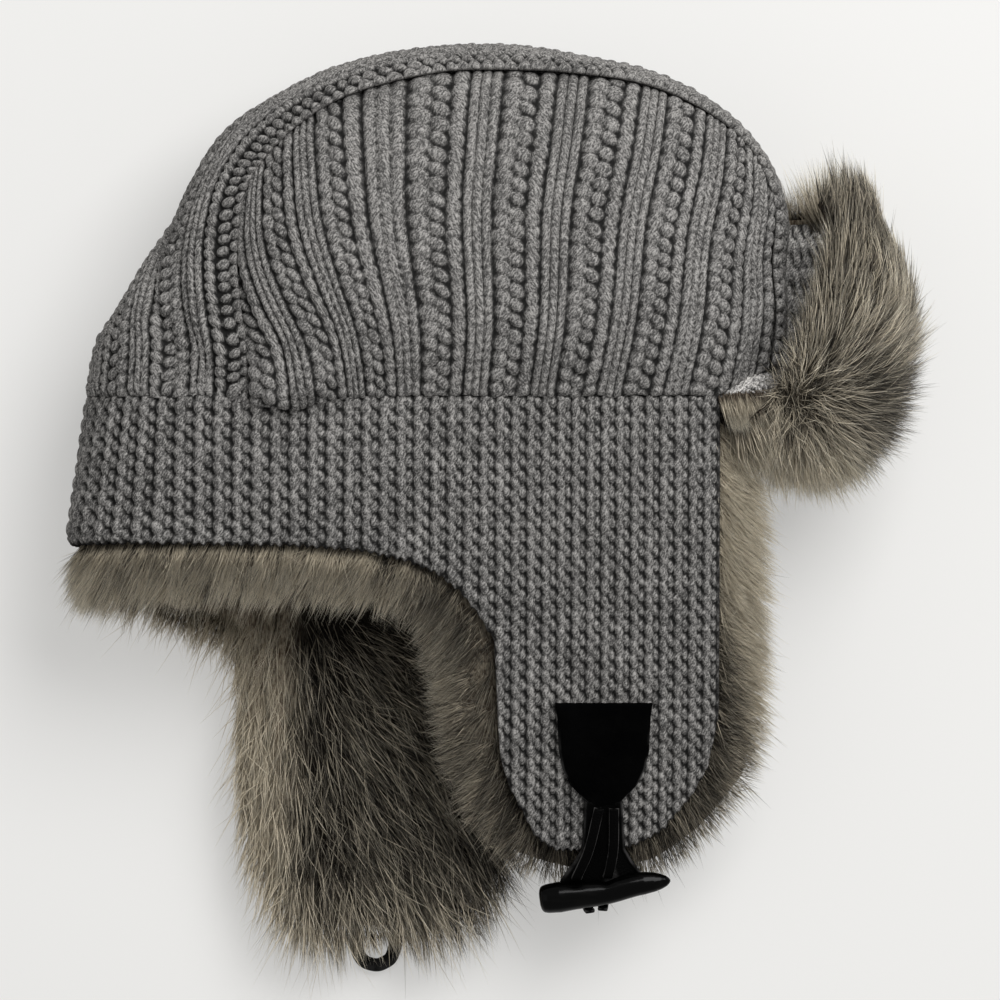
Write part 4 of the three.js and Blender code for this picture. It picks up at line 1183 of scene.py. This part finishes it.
def toggle_girth(share, angle):
    """Half width and half depth round the toggle, with a notch in its upper edge for each strap."""
    size = TOGGLE_RADIUS * read(TOGGLE_GIRTH, share)[0]
    notch = sum(bell((share - meet) * TOGGLE_LENGTH, 0, NOTCH_WIDTH) for _, _, meet, _ in STRAPS)
    size = size - NOTCH_DEPTH * notch * ramp(-np.cos(angle), 0.3, 1.0)
    return size * np.cos(angle), size * TOGGLE_FLATNESS * np.sin(angle)


def strap_track(start_x, meet, leave):
    """Out from under the patch, over the tongue and round under the toggle to its lower edge."""
    toggle = toggle_track()
    away = 3 * GAP + STRAP_THICKNESS / 2
    over = ON_KNIT + STRAP_THICKNESS + away
    meet_x = toggle.at(np.array(meet * toggle.length))[0]
    start = under_shell(NEAR_FRONT_X - start_x, PATCH_TOP + PATCH_LENGTH - 1, -over + 1)
    mid = under_shell(NEAR_FRONT_X - lerp(start_x, meet_x, 0.6), FLAP_DEPTH - 2, -over)
    angle = np.radians([155, 180, 210, 240, 270, 300, 325, 345])
    share = lerp(meet, leave, evenly(len(angle)))
    centre = toggle.at(share * toggle.length)
    radius = TOGGLE_RADIUS * read(TOGGLE_GIRTH, share)[0]
    centre[:, 1] -= (radius + away) * np.cos(angle)
    centre[:, 2] += (radius * TOGGLE_FLATNESS + away) * np.sin(angle)
    return Track(np.concatenate([[start, mid], centre]), samples=801)


STRAP_SIDES = 16
STRAP_STEPS = 90


def strap_section(share, angle):
    """A rounded rectangle: the cosine and sine drawn out towards its corners."""
    squared = 0.45
    wide = STRAP_THICKNESS / 2 * np.sign(np.cos(angle)) * np.abs(np.cos(angle)) ** squared
    deep = STRAP_WIDTH / 2 * np.sign(np.sin(angle)) * np.abs(np.sin(angle)) ** squared
    return wide + 0 * share, deep + 0 * share


def strap_painted_highlight():
    """How much painted highlight the strap takes round its section: along its two narrow sides."""
    angle = 2 * np.pi * np.arange(STRAP_SIDES) / STRAP_SIDES
    return 0.8 * ramp(np.abs(np.sin(angle)), 0.85, 0.95)


# What a user would change

def tint(name, description, *default):
    return FloatVectorProperty(name=name, description=description, subtype="COLOR", size=3,
                               default=default)


def hair_length(name, description, default):
    return FloatProperty(name=name, description=description, subtype="DISTANCE", unit="LENGTH",
                         default=default, min=0.002, max=0.05)


def hair_count(name, description, default, least=100):
    return IntProperty(name=name, description=description, default=default, min=least)


def light_power(name, description, default):
    return FloatProperty(name=name, description=description, subtype="POWER", unit="POWER",
                         default=default, min=0)


class HatKnit(bpy.types.PropertyGroup):
    yarn_dark: tint("Dark fibres", "The wool's dark fibres", 0.062, 0.060, 0.058)
    yarn_light: tint("Light fibres", "The wool's light fibres", 0.366, 0.354, 0.338)
    # The colour of the painted shade in the gaps between stitches
    yarn_pit_shade: tint("Pits", "The gaps between stitches", 0.011, 0.0106, 0.0102)


class HatPile(bpy.types.PropertyGroup):
    root: tint("Root", "The hairs at their root", 0.03, 0.0205, 0.0135)
    middle: tint("Middle", "The hairs along their length", 0.19, 0.167, 0.127)
    tip: tint("Tip", "The hairs at their tip", 0.47, 0.435, 0.355)
    length: hair_length("Hair length", "Length of the lining's hairs in metres", 0.017)
    front_length: hair_length("Front hair length", "Length of the front flap's hairs", 0.0195)
    lining_hairs: hair_count("Lining hairs", "Hairs inside the flaps and band", 27000)
    rim_hairs: hair_count("Rim hairs", "Hairs that stand out past the knitting", 27500)
    long_hairs: hair_count("Long hairs", "Long pale hairs over those of the lining", 3300, 10)
    front_hairs: hair_count("Front hairs", "Hairs on the turned-up front flap", 19800)
    front_long_hairs: hair_count("Front long hairs", "Long curved hairs over those", 5500)
    tuft_hairs: hair_count("Tuft hairs", "Hairs in each tuft at the front flap's edges", 1500, 10)


class HatStage(bpy.types.PropertyGroup):
    floor: tint("Floor", "Colour of the surface", 0.74, 0.735, 0.72)
    key: light_power("Key light", "Power of the soft light from the front of the crown", 42.0)
    fill: light_power("Fill light", "Power of the soft light from behind", 2.0)
    sky: FloatProperty(name="Surrounding light", description="Strength of the light all round",
                       default=0.42, min=0)


class HAT_OT_crown(bpy.types.Operator):
    """Knit the crown: the near panel, the centre strip and the far panel."""
    bl_idname = "hat.crown"
    bl_label = "Crown"

    def execute(self, context):
        wool = wool_finish("crown_wool", context.scene.hat_knit)
        over = np.concatenate([lerp(0, 0.52, evenly(98)), lerp(0.53, 1, evenly(48))])
        parts = [
            ("crown_near_panel", near_panel_surface, evenly(400), evenly(186), near_panel_pattern,
             (0.008, 0.014, 0.016, 0.02)),
            ("crown_strip", strip_surface, evenly(560), over, strip_pattern,
             (0.006, 0.006, 0.008, 0.02)),
            ("crown_far_panel", far_panel_surface, evenly(110), evenly(60), far_panel_pattern,
             (0.05, 0.05, 0.08, 0.1)),
        ]
        for name, *wall in parts:
            front, back, crest, twist = knitted_wall(*wall)
            make_piece(name + "_knit", *slab(front, back), wool, "knit", (name,), lowest=0,
                       crest=crest, twist=twist)
        return {"FINISHED"}


class HAT_OT_band(bpy.types.Operator):
    """Knit the neck band and both ear flaps in garter ridges."""
    bl_idname = "hat.band"
    bl_label = "Band and flaps"

    def execute(self, context):
        wool = wool_finish("band_wool", context.scene.hat_knit)
        points, faces, crest, twist = make_band_mesh()
        make_piece("flap_band_knit", points, faces, wool, "knit", ("flap_band",), lowest=0,
                   crest=crest, twist=twist)
        return {"FINISHED"}


class HAT_OT_front_flap(bpy.types.Operator):
    """Knit the back of the turned-up front flap."""
    bl_idname = "hat.front_flap"
    bl_label = "Front flap"

    def execute(self, context):
        # Painted light: this wool is made paler, since the flap's back lies in the shade of the
        # crown and pile
        wool = wool_finish("front_wool_painted_light", context.scene.hat_knit, FRONT_WOOL_PAINTED_LIGHT)

        def pattern(u, v, middle):
            height, twist = stitches(v * 96, u * 190, GARTER_PERIOD, GARTER_KNIT)
            return 1.1 * height, twist

        def inner_side(u, v):
            """The flap's own surface, carried on past its root to under the crown."""
            high = lerp(FRONT_TUCK, 1, v)
            point = front_surface(1 - u, high)
            point[..., 2] += 25 * np.minimum(high, 0)
            return point

        front, back, crest, twist = knitted_wall(inner_side, evenly(150), evenly(76), pattern,
                                                 (0.02, 0.02, 0.05, 0.05), 5)
        make_piece("front_flap_knitting", *slab(front, back), wool, "knit", ("front_flap_knit",),
                   crest=crest, twist=twist)
        return {"FINISHED"}


class HAT_OT_lining(bpy.types.Operator):
    """Lay the pile lining: a dense underpile, the hairs inside it and the hairs round its rim."""
    bl_idname = "hat.lining"
    bl_label = "Pile lining"

    def execute(self, context):
        pile = context.scene.hat_pile
        under, over = underpile_finish("lining_underpile", pile), pile_finish("lining_hair", pile)
        u, v = shares(241, 36)
        u = u[:, ::-1]
        ragged = 3.0 * lumps(u, 0 * v, 90, 1, 5.5) * v
        inside = lining_point(u, v, 0.6 + 0.3 * lumps(u, v, 110, 9, 1.7),
                              ragged - UNDERPILE_INSET)
        u, v = u[:, ::4], v[::5]
        backing = lining_point(u, v, 0.0, -UNDERPILE_INSET)
        distance = off_knit(*lining_place(u, v, -UNDERPILE_INSET))[0].ravel()
        # Painted shade: the rim's underpile is darker next to the knitting's edge, which shades it,
        # and paler further out and at the front.
        rim_painted_shade = 0.3 + 0.3 * ramp(distance, 2, 14) + 0.3 * (u + 0 * v < 0.13).ravel()
        tone = np.concatenate([hollow_painted_light(inside).ravel() - 0.05, rim_painted_shade])
        make_piece("lining_underpile", *slab(inside, backing), under, "fur", ("fur_lining",),
                   lowest=0.4, tone=tone)
        self.inside_hairs(pile, over)
        self.rim_hairs(pile, over)
        return {"FINISHED"}

    def inside_hairs(self, pile, finish):
        """Hairs on the pile's face lie down the flaps and fan out from a parting on the far one."""
        rng = np.random.default_rng(11)
        u, v = shares(301, 60)
        u = u[:, ::-1]
        grid = lining_point(u, v, 0.5)
        shown = (u > 0.5) * in_far_flap(grid)
        ends = 1 - 0.6 * ramp(v, 0.9, 1) * (1 - ramp(u, 0.7, 0.73) * fade(u, 0.84, 0.87))
        roots, normals, across, down = scatter(grid, (0.05 + shown) * ends, pile.lining_hairs, rng)
        x, below = roots[:, 0], np.maximum(-50 - roots[:, 1], 0)
        beside = np.clip((x + 81) / 22, -0.12, 1.5)
        drift = beside * np.exp(-below / 80) - 0.1 * fade(x, -96, -80)
        drift = drift - 0.2 * ramp(below, 60, 120) * fade(x, -90, -50)
        lay = unit(xyz(drift, -1.0, 0.0))
        by_loop = bell(x, LOOP["x"], 10) * ramp(below, 95, 112)
        length = pile.length / MM * (1 + 0.25 * ramp(below, 85, 110) - 0.7 * by_loop)
        locks, tone = lock_cells(across, down, 190, 18, rng), hollow_painted_light(roots)
        make_hairs("lining_hairs", finish, roots, normals, lay, length, HAIR_RADIUS, 0.35, locks,
                   tone, 2.3, rng)
        chance = 0.05 + in_far_flap(roots)
        long = rng.choice(len(roots), pile.long_hairs, p=chance / chance.sum())
        lay = unit(lay[long] + 0.25 * rng.standard_normal((len(long), 3)))
        make_hairs("lining_long_hairs", finish, roots[long], normals[long], lay, 1.5 * length[long],
                   0.16, 0.45, np.arange(len(long)), tone[long] + 0.25, 1.5, rng, True)

    def rim_hairs(self, pile, finish):
        """Hairs on the outer side of the rim stand out past the knitting's edge and lean down. The
        part past HIDDEN_RIM lies under the hat, so its hairs are few and short."""
        rng = np.random.default_rng(12)
        u, v = shares(601, 60)
        v = lerp(0.05, 1.0, v)
        grid = lining_point(u, v, 0.08)
        distance = off_knit(*lining_place(u + 0 * v, v + 0 * u))[0]
        seen = ramp(distance, -4, -1) * (1 - 0.75 * ramp(v, 0.75, 1))
        seen = seen * (0.05 + 0.95 * (u < HIDDEN_RIM))
        roots, normals, across, down = scatter(grid, seen, pile.rim_hairs, rng)
        distance, away = off_knit(*lining_place(across, down))
        front = fade(across, 0.1, 0.16)
        nape = ramp(across, 0.38, 0.42) * fade(across, 0.58, 0.62)
        low = fade(roots[:, 1], -150, -100)
        lay = away + xyz(-0.5 * nape, -lerp(0.25, 0.85, front) - 0.6 * low * (1 - nape), 0)
        length = 0.8 * pile.length / MM * (1 - 0.3 * ramp(down, 0.85, 1) + 0.3 * nape + 0.2 * front)
        length = length * (1 - 0.5 * (across > HIDDEN_RIM))
        length = length * rng.choice([1.0, 1.5], len(across), p=[0.93, 0.07])
        locks = lock_cells(across, down, 260, 6, rng)
        # Painted shade in the tone: darker next to the knitting's edge, paler further out, and
        # paler still at the front and nape rims.
        tone = 0.26 + 0.3 * ramp(distance, 2, 14) + 1.2 * front + 0.75 * nape
        rise = (0.22 + 0.1 * front)[:, None]
        make_hairs("rim_hairs", finish, roots, normals, lay, length, 0.165, rise, locks, tone,
                   1.9 + 2.2 * nape, rng)


class HAT_OT_front_pile(bpy.types.Operator):
    """Lay the pile of the front flap, whose hairs fan out from the flap's near lower corner."""
    bl_idname = "hat.front_pile"
    bl_label = "Front pile"

    def execute(self, context):
        pile = context.scene.hat_pile
        under, over = underpile_finish("front_underpile", pile), pile_finish("front_hair", pile)
        u, v = shares(161, 60)
        face = front_pile(u, v, 0.42 + 0.22 * lumps(u, v, 45, 14, 2.2))
        high, place = lerp(FRONT_FROM, 1.05, v[::6]), u[:, ::5]
        out = front_out(place, np.clip(high, 0, 1))
        backing = front_surface(place, high) + out * FRONT_BACKING
        # Painted light: the underpile's far part, in the shade of the knitting, is made paler.
        far = 0.5 * ramp(u, 0.36, 0.48) + 0 * v
        tone = 0.2 + np.append(far, np.zeros(backing[..., 0].size))
        make_piece("front_underpile", *slab(face, backing), under, "fur", ("front_flap_fur",),
                   tone=tone)
        rng = np.random.default_rng(13)
        grid = front_pile(u, v, 0.38)
        seen = 0.06 + fade(u, 0.34, 0.5) * (1 - 0.5 * ramp(v, 0.9, 1))
        seen = seen + 1.8 * ramp(v, 0.8, 0.9) * ramp(u, 0.3, 0.42) * fade(u, 0.6, 0.7)
        for name, count, bent in (("front_hairs", pile.front_hairs, False),
                                  ("front_long_hairs", pile.front_long_hairs, True)):
            places = scatter(grid, seen, count, rng)
            self.face_hairs(name, over, places, pile.front_length / MM, rng, bent)
        self.tufts(pile, over, rng)
        return {"FINISHED"}

    def face_hairs(self, name, finish, places, size, rng, bent):
        """Hairs away from the whorl, turned up along the sides, in under the top's far part and
        down beside the band. Bent ones are longer and paler."""
        roots, normals, across, down = places
        x, y = roots[:, 0], roots[:, 1]
        away = (roots - WHORL) * np.array([1, 1, 0.35])
        near = np.exp(-np.linalg.norm(away, axis=1) / 12)
        far_top = ramp(down, 0.7, 0.9) * ramp(across, 0.32, 0.44)
        corner = ramp(down, 0.6, 0.9) * ramp(across, 0.06, 0.14) * fade(across, 0.36, 0.46)
        side = ramp(down, 0.3, 0.45) * fade(across, 0, 0.07) * (1 - 0.6 * ramp(down, 0.85, 1))
        upright = ramp(y, 55, 85) * ramp(across, 0, 0.06) * fade(across, 0.4, 0.5)
        band_side = fade(x, 106, 117) * fade(y, 42, 56)
        away = unit(unit(away) + 1.3 * near[:, None] * rng.standard_normal(roots.shape))
        away = lean_to(away, ramp(away[:, 1], -0.2, 0.3), 0, 0.55, 0)
        away = lean_to(away, upright, -0.2, 0.5, 0)
        away = lean_to(away, far_top, -0.35, 0.3, 0.5)
        away = lean_to(away, 1.6 * side + corner, -0.45, 0.2, 0)
        away = unit(lerp(unit(away), np.array([0.4, -1, 0]), band_side[:, None]))
        length = size * lerp(1.0, 0.6, ramp(across, 0.64, 0.72)) * (1 - 0.4 * near)
        length = length * (1 - 0.6 * corner) * (1 - 0.2 * side) * (1.25 if bent else 1.0)
        locks = lock_cells(across, down, 90, 10, rng)
        # Painted light and shade in the tone: paler low on the flap, at the far top and beside the
        # band, where the crown and knitting shade the hairs, and darker towards the top and low at
        # its outer end.
        low = fade(y, 12, 46) * fade(x, 130, 160)
        tone = 0.25 - 0.09 * ramp(y, 88, 112) + 0.05 * near + 0.65 * low + (0.2 if bent else 0)
        tone = tone - 0.26 * ramp(x, 130, 145) * fade(y, 48, 66) + 0.2 * far_top + 0.2 * band_side
        rise = (0.4 - 0.34 * upright)[:, None]
        make_hairs(name, finish, roots, normals, away, length, HAIR_RADIUS, rise, locks, tone, 1.4,
                   rng, bent)

    def tufts(self, pile, finish, rng):
        """Hairs from under the knit's edges: down from the corner by the band, up over the top."""
        count = pile.tuft_hairs
        share = rng.random(count)
        corner = xyz(89 + 19 * share, 44.5 + 1.5 * share, 87.5) + rng.normal(0, 0.9, (count, 3))
        far = ramp(share, 0.6, 0.8)
        top = front_surface(0.6 * share, 1.0) + xyz(1.5, -1.0 - 5 * far, -3 * far)
        top = top + rng.normal(0, 1.2, (count, 3))
        roots = np.concatenate([corner, top])
        sideways = rng.normal(-0.05, 0.22, count)
        lay = np.concatenate([xyz(0.35 + 0 * share, -1, 0.4), xyz(sideways, 1, 0.35)])
        length = np.concatenate([17 + 0 * share, 15 + 21 * far])
        # Painted light: the tufts, which lie in the shade of the crown and knitting, are made
        # paler, the far ones of the top most.
        tone = np.concatenate([0.65 + 0 * share, 0.3 + 0.35 * far])
        locks = np.concatenate([np.floor(share * 14), 20 + np.floor(share * 30)]).astype(int)
        normals = xyz(0 * roots[:, 0], 0, 1)
        make_hairs("front_tufts", finish, roots, normals, lay, length, HAIR_RADIUS, 0.2, locks,
                   tone, 1.5, rng)


class HAT_OT_patches(bpy.types.Operator):
    """Sew on the suede patches and the leather tongues below them."""
    bl_idname = "hat.patches"
    bl_label = "Patches and tongues"

    def execute(self, context):
        suede, leather = suede_finish("suede"), leather_finish("tongue_leather")
        for name, (front, back, edge), finish, slot in (
            ("patch_near", patch_grids(NEAR_PATCH_S), suede, "suede"),
            ("patch_far", patch_grids(FAR_PATCH_S), suede, "suede"),
            ("tongue_near", tongue_grids(NEAR_PATCH_S, 23, 1.0, 13.0), leather, "leather"),
            ("tongue_far", tongue_grids(FAR_PATCH_S, 25, 0.66, 0), leather, "leather"),
        ):
            # The painted highlight at each point of the front, none on the back
            edge = np.append(edge[::-1], np.zeros(back[..., 0].size))
            make_piece(f"{name}_{slot}", *slab(front[::-1], back[::-1]), finish, slot, (name,),
                       lowest=0.1, edge=edge)
        return {"FINISHED"}


class HAT_OT_fastening(bpy.types.Operator):
    """Make the toggle, its two straps and the loop of the other flap."""
    bl_idname = "hat.fastening"
    bl_label = "Toggle, straps and loop"

    def execute(self, context):
        horn, leather = horn_finish("horn"), leather_finish("strap_leather")

        def cord(share, angle):
            """Three strands that wind round the cord, as a faint rise and fall of its radius."""
            radius = LOOP_CORD / 2 * (1 + 0.02 * np.cos(3 * angle + 60 * share))
            return radius * np.cos(angle), radius * np.sin(angle)

        toggle = sweep(toggle_track(), 160, 40, toggle_girth)
        make_piece("toggle_horn", *toggle, horn, "horn", ("toggle",))
        edge = np.append(np.tile(strap_painted_highlight(), STRAP_STEPS + 1), [0, 0])
        for name, *route in STRAPS:
            strap = sweep(strap_track(*route), STRAP_STEPS, STRAP_SIDES, strap_section, (1, 0, 0))
            make_piece(name + "_leather", *strap, leather, "leather", (name,), edge=edge)
        z = LOOP_CORD / 2 + 0.2
        x, reach, root = LOOP["x"], LOOP["reach"], LOOP["root"]
        turn = np.pi + np.pi * evenly(5)
        bend = xyz(x + reach * np.cos(turn), LOOP["bottom"] + reach + reach * np.sin(turn), z)
        start = [(x - reach + 2.4, root, z), (x - reach, root - 8, z)]
        end = [(x + reach, root - 8, z), (x + reach - 2.4, root, z)]
        track = Track(np.concatenate([start, bend, end]), samples=801)
        points, faces = sweep(track, 110, 18, cord)
        # Painted highlight: the cord is paler towards its top, by its height
        make_piece("loop_far_cord", points, faces, leather, "leather", ("loop_far",),
                   edge=0.04 * points[:, 2])
        return {"FINISHED"}


# The stage, in metres, and the camera's sensor in millimetres
FLOOR_REACH = 4.0
HAT_MIDDLE = np.array([0.0, 0.0, 0.04])
CAMERA_HEIGHT = 5.0  # over the hat, far off so that it sees as flatly as the photo
VIEW_WIDTH = 0.4
SENSOR_WIDTH = 36.0


class HAT_OT_stage(bpy.types.Operator):
    """Set the plain floor, the soft lights and the camera straight above the hat."""
    bl_idname = "hat.stage"
    bl_label = "Stage"

    def execute(self, context):
        stage, scene = context.scene.hat_stage, context.scene
        mesh = bpy.data.meshes.new("floor")
        corners = [(-1, -1), (1, -1), (1, 1), (-1, 1)]
        mesh.from_pydata([(FLOOR_REACH * x, FLOOR_REACH * y, 0) for x, y in corners], [],
                         [(0, 1, 2, 3)])
        floor = bpy.data.objects.new("floor", mesh)
        mesh.materials.append(floor_finish("pale_floor", stage.floor))
        scene.collection.objects.link(floor)
        for name, power, place, size in (
            ("key_light", stage.key, (0.75, 1.0, 1.6), 1.3),
            ("fill_light", stage.fill, (-1.3, 0.0, 1.5), 1.6),
        ):
            data = bpy.data.lights.new(name, "AREA")
            data.energy, data.size = power, size
            light = bpy.data.objects.new(name, data)
            light.location = place
            light.rotation_euler = look(HAT_MIDDLE - np.array(place))
            scene.collection.objects.link(light)
        world = bpy.data.worlds.new("surroundings")
        world.use_nodes = True
        background = world.node_tree.nodes["Background"]
        background.inputs["Color"].default_value = (1, 1, 1, 1)
        background.inputs["Strength"].default_value = stage.sky
        scene.world = world
        scene.view_settings.view_transform = "Standard"
        data = bpy.data.cameras.new("camera")
        data.sensor_width = SENSOR_WIDTH
        data.lens = SENSOR_WIDTH * CAMERA_HEIGHT / VIEW_WIDTH
        data.clip_end = 50.0
        camera = bpy.data.objects.new("camera", data)
        camera.location = (0.0002, 0.0038, CAMERA_HEIGHT + 0.05)
        scene.collection.objects.link(camera)
        scene.camera = camera
        return {"FINISHED"}


def look(direction):
    """Euler angles that point a light's -Z along a direction."""
    x, y, z = direction
    flat = np.hypot(x, y)
    return (np.arctan2(flat, -z), 0.0, np.arctan2(y, x) - np.pi / 2)


OPERATORS = (HAT_OT_crown, HAT_OT_band, HAT_OT_front_flap, HAT_OT_lining, HAT_OT_front_pile,
             HAT_OT_patches, HAT_OT_fastening, HAT_OT_stage)
GROUPS = {"hat_knit": HatKnit, "hat_pile": HatPile, "hat_stage": HatStage}


class HAT_PT_panel(bpy.types.Panel):
    bl_label = "Knit hat"
    bl_idname = "HAT_PT_panel"
    bl_space_type = "VIEW_3D"
    bl_region_type = "UI"
    bl_category = "Hat"

    def draw(self, context):
        for key, group in GROUPS.items():
            for name in group.__annotations__:
                self.layout.prop(getattr(context.scene, key), name)
        for operator in OPERATORS:
            self.layout.operator(operator.bl_idname)


def register():
    for item in (*GROUPS.values(), *OPERATORS, HAT_PT_panel):
        bpy.utils.register_class(item)
    for key, group in GROUPS.items():
        setattr(bpy.types.Scene, key, PointerProperty(type=group))


def unregister():
    for key in GROUPS:
        delattr(bpy.types.Scene, key)
    for item in (HAT_PT_panel, *reversed(OPERATORS), *reversed(GROUPS.values())):
        bpy.utils.unregister_class(item)


def main():
    register()
    for operator in OPERATORS:
        getattr(bpy.ops.hat, operator.bl_idname.split(".")[1])()


if __name__ == "__main__":
    main()
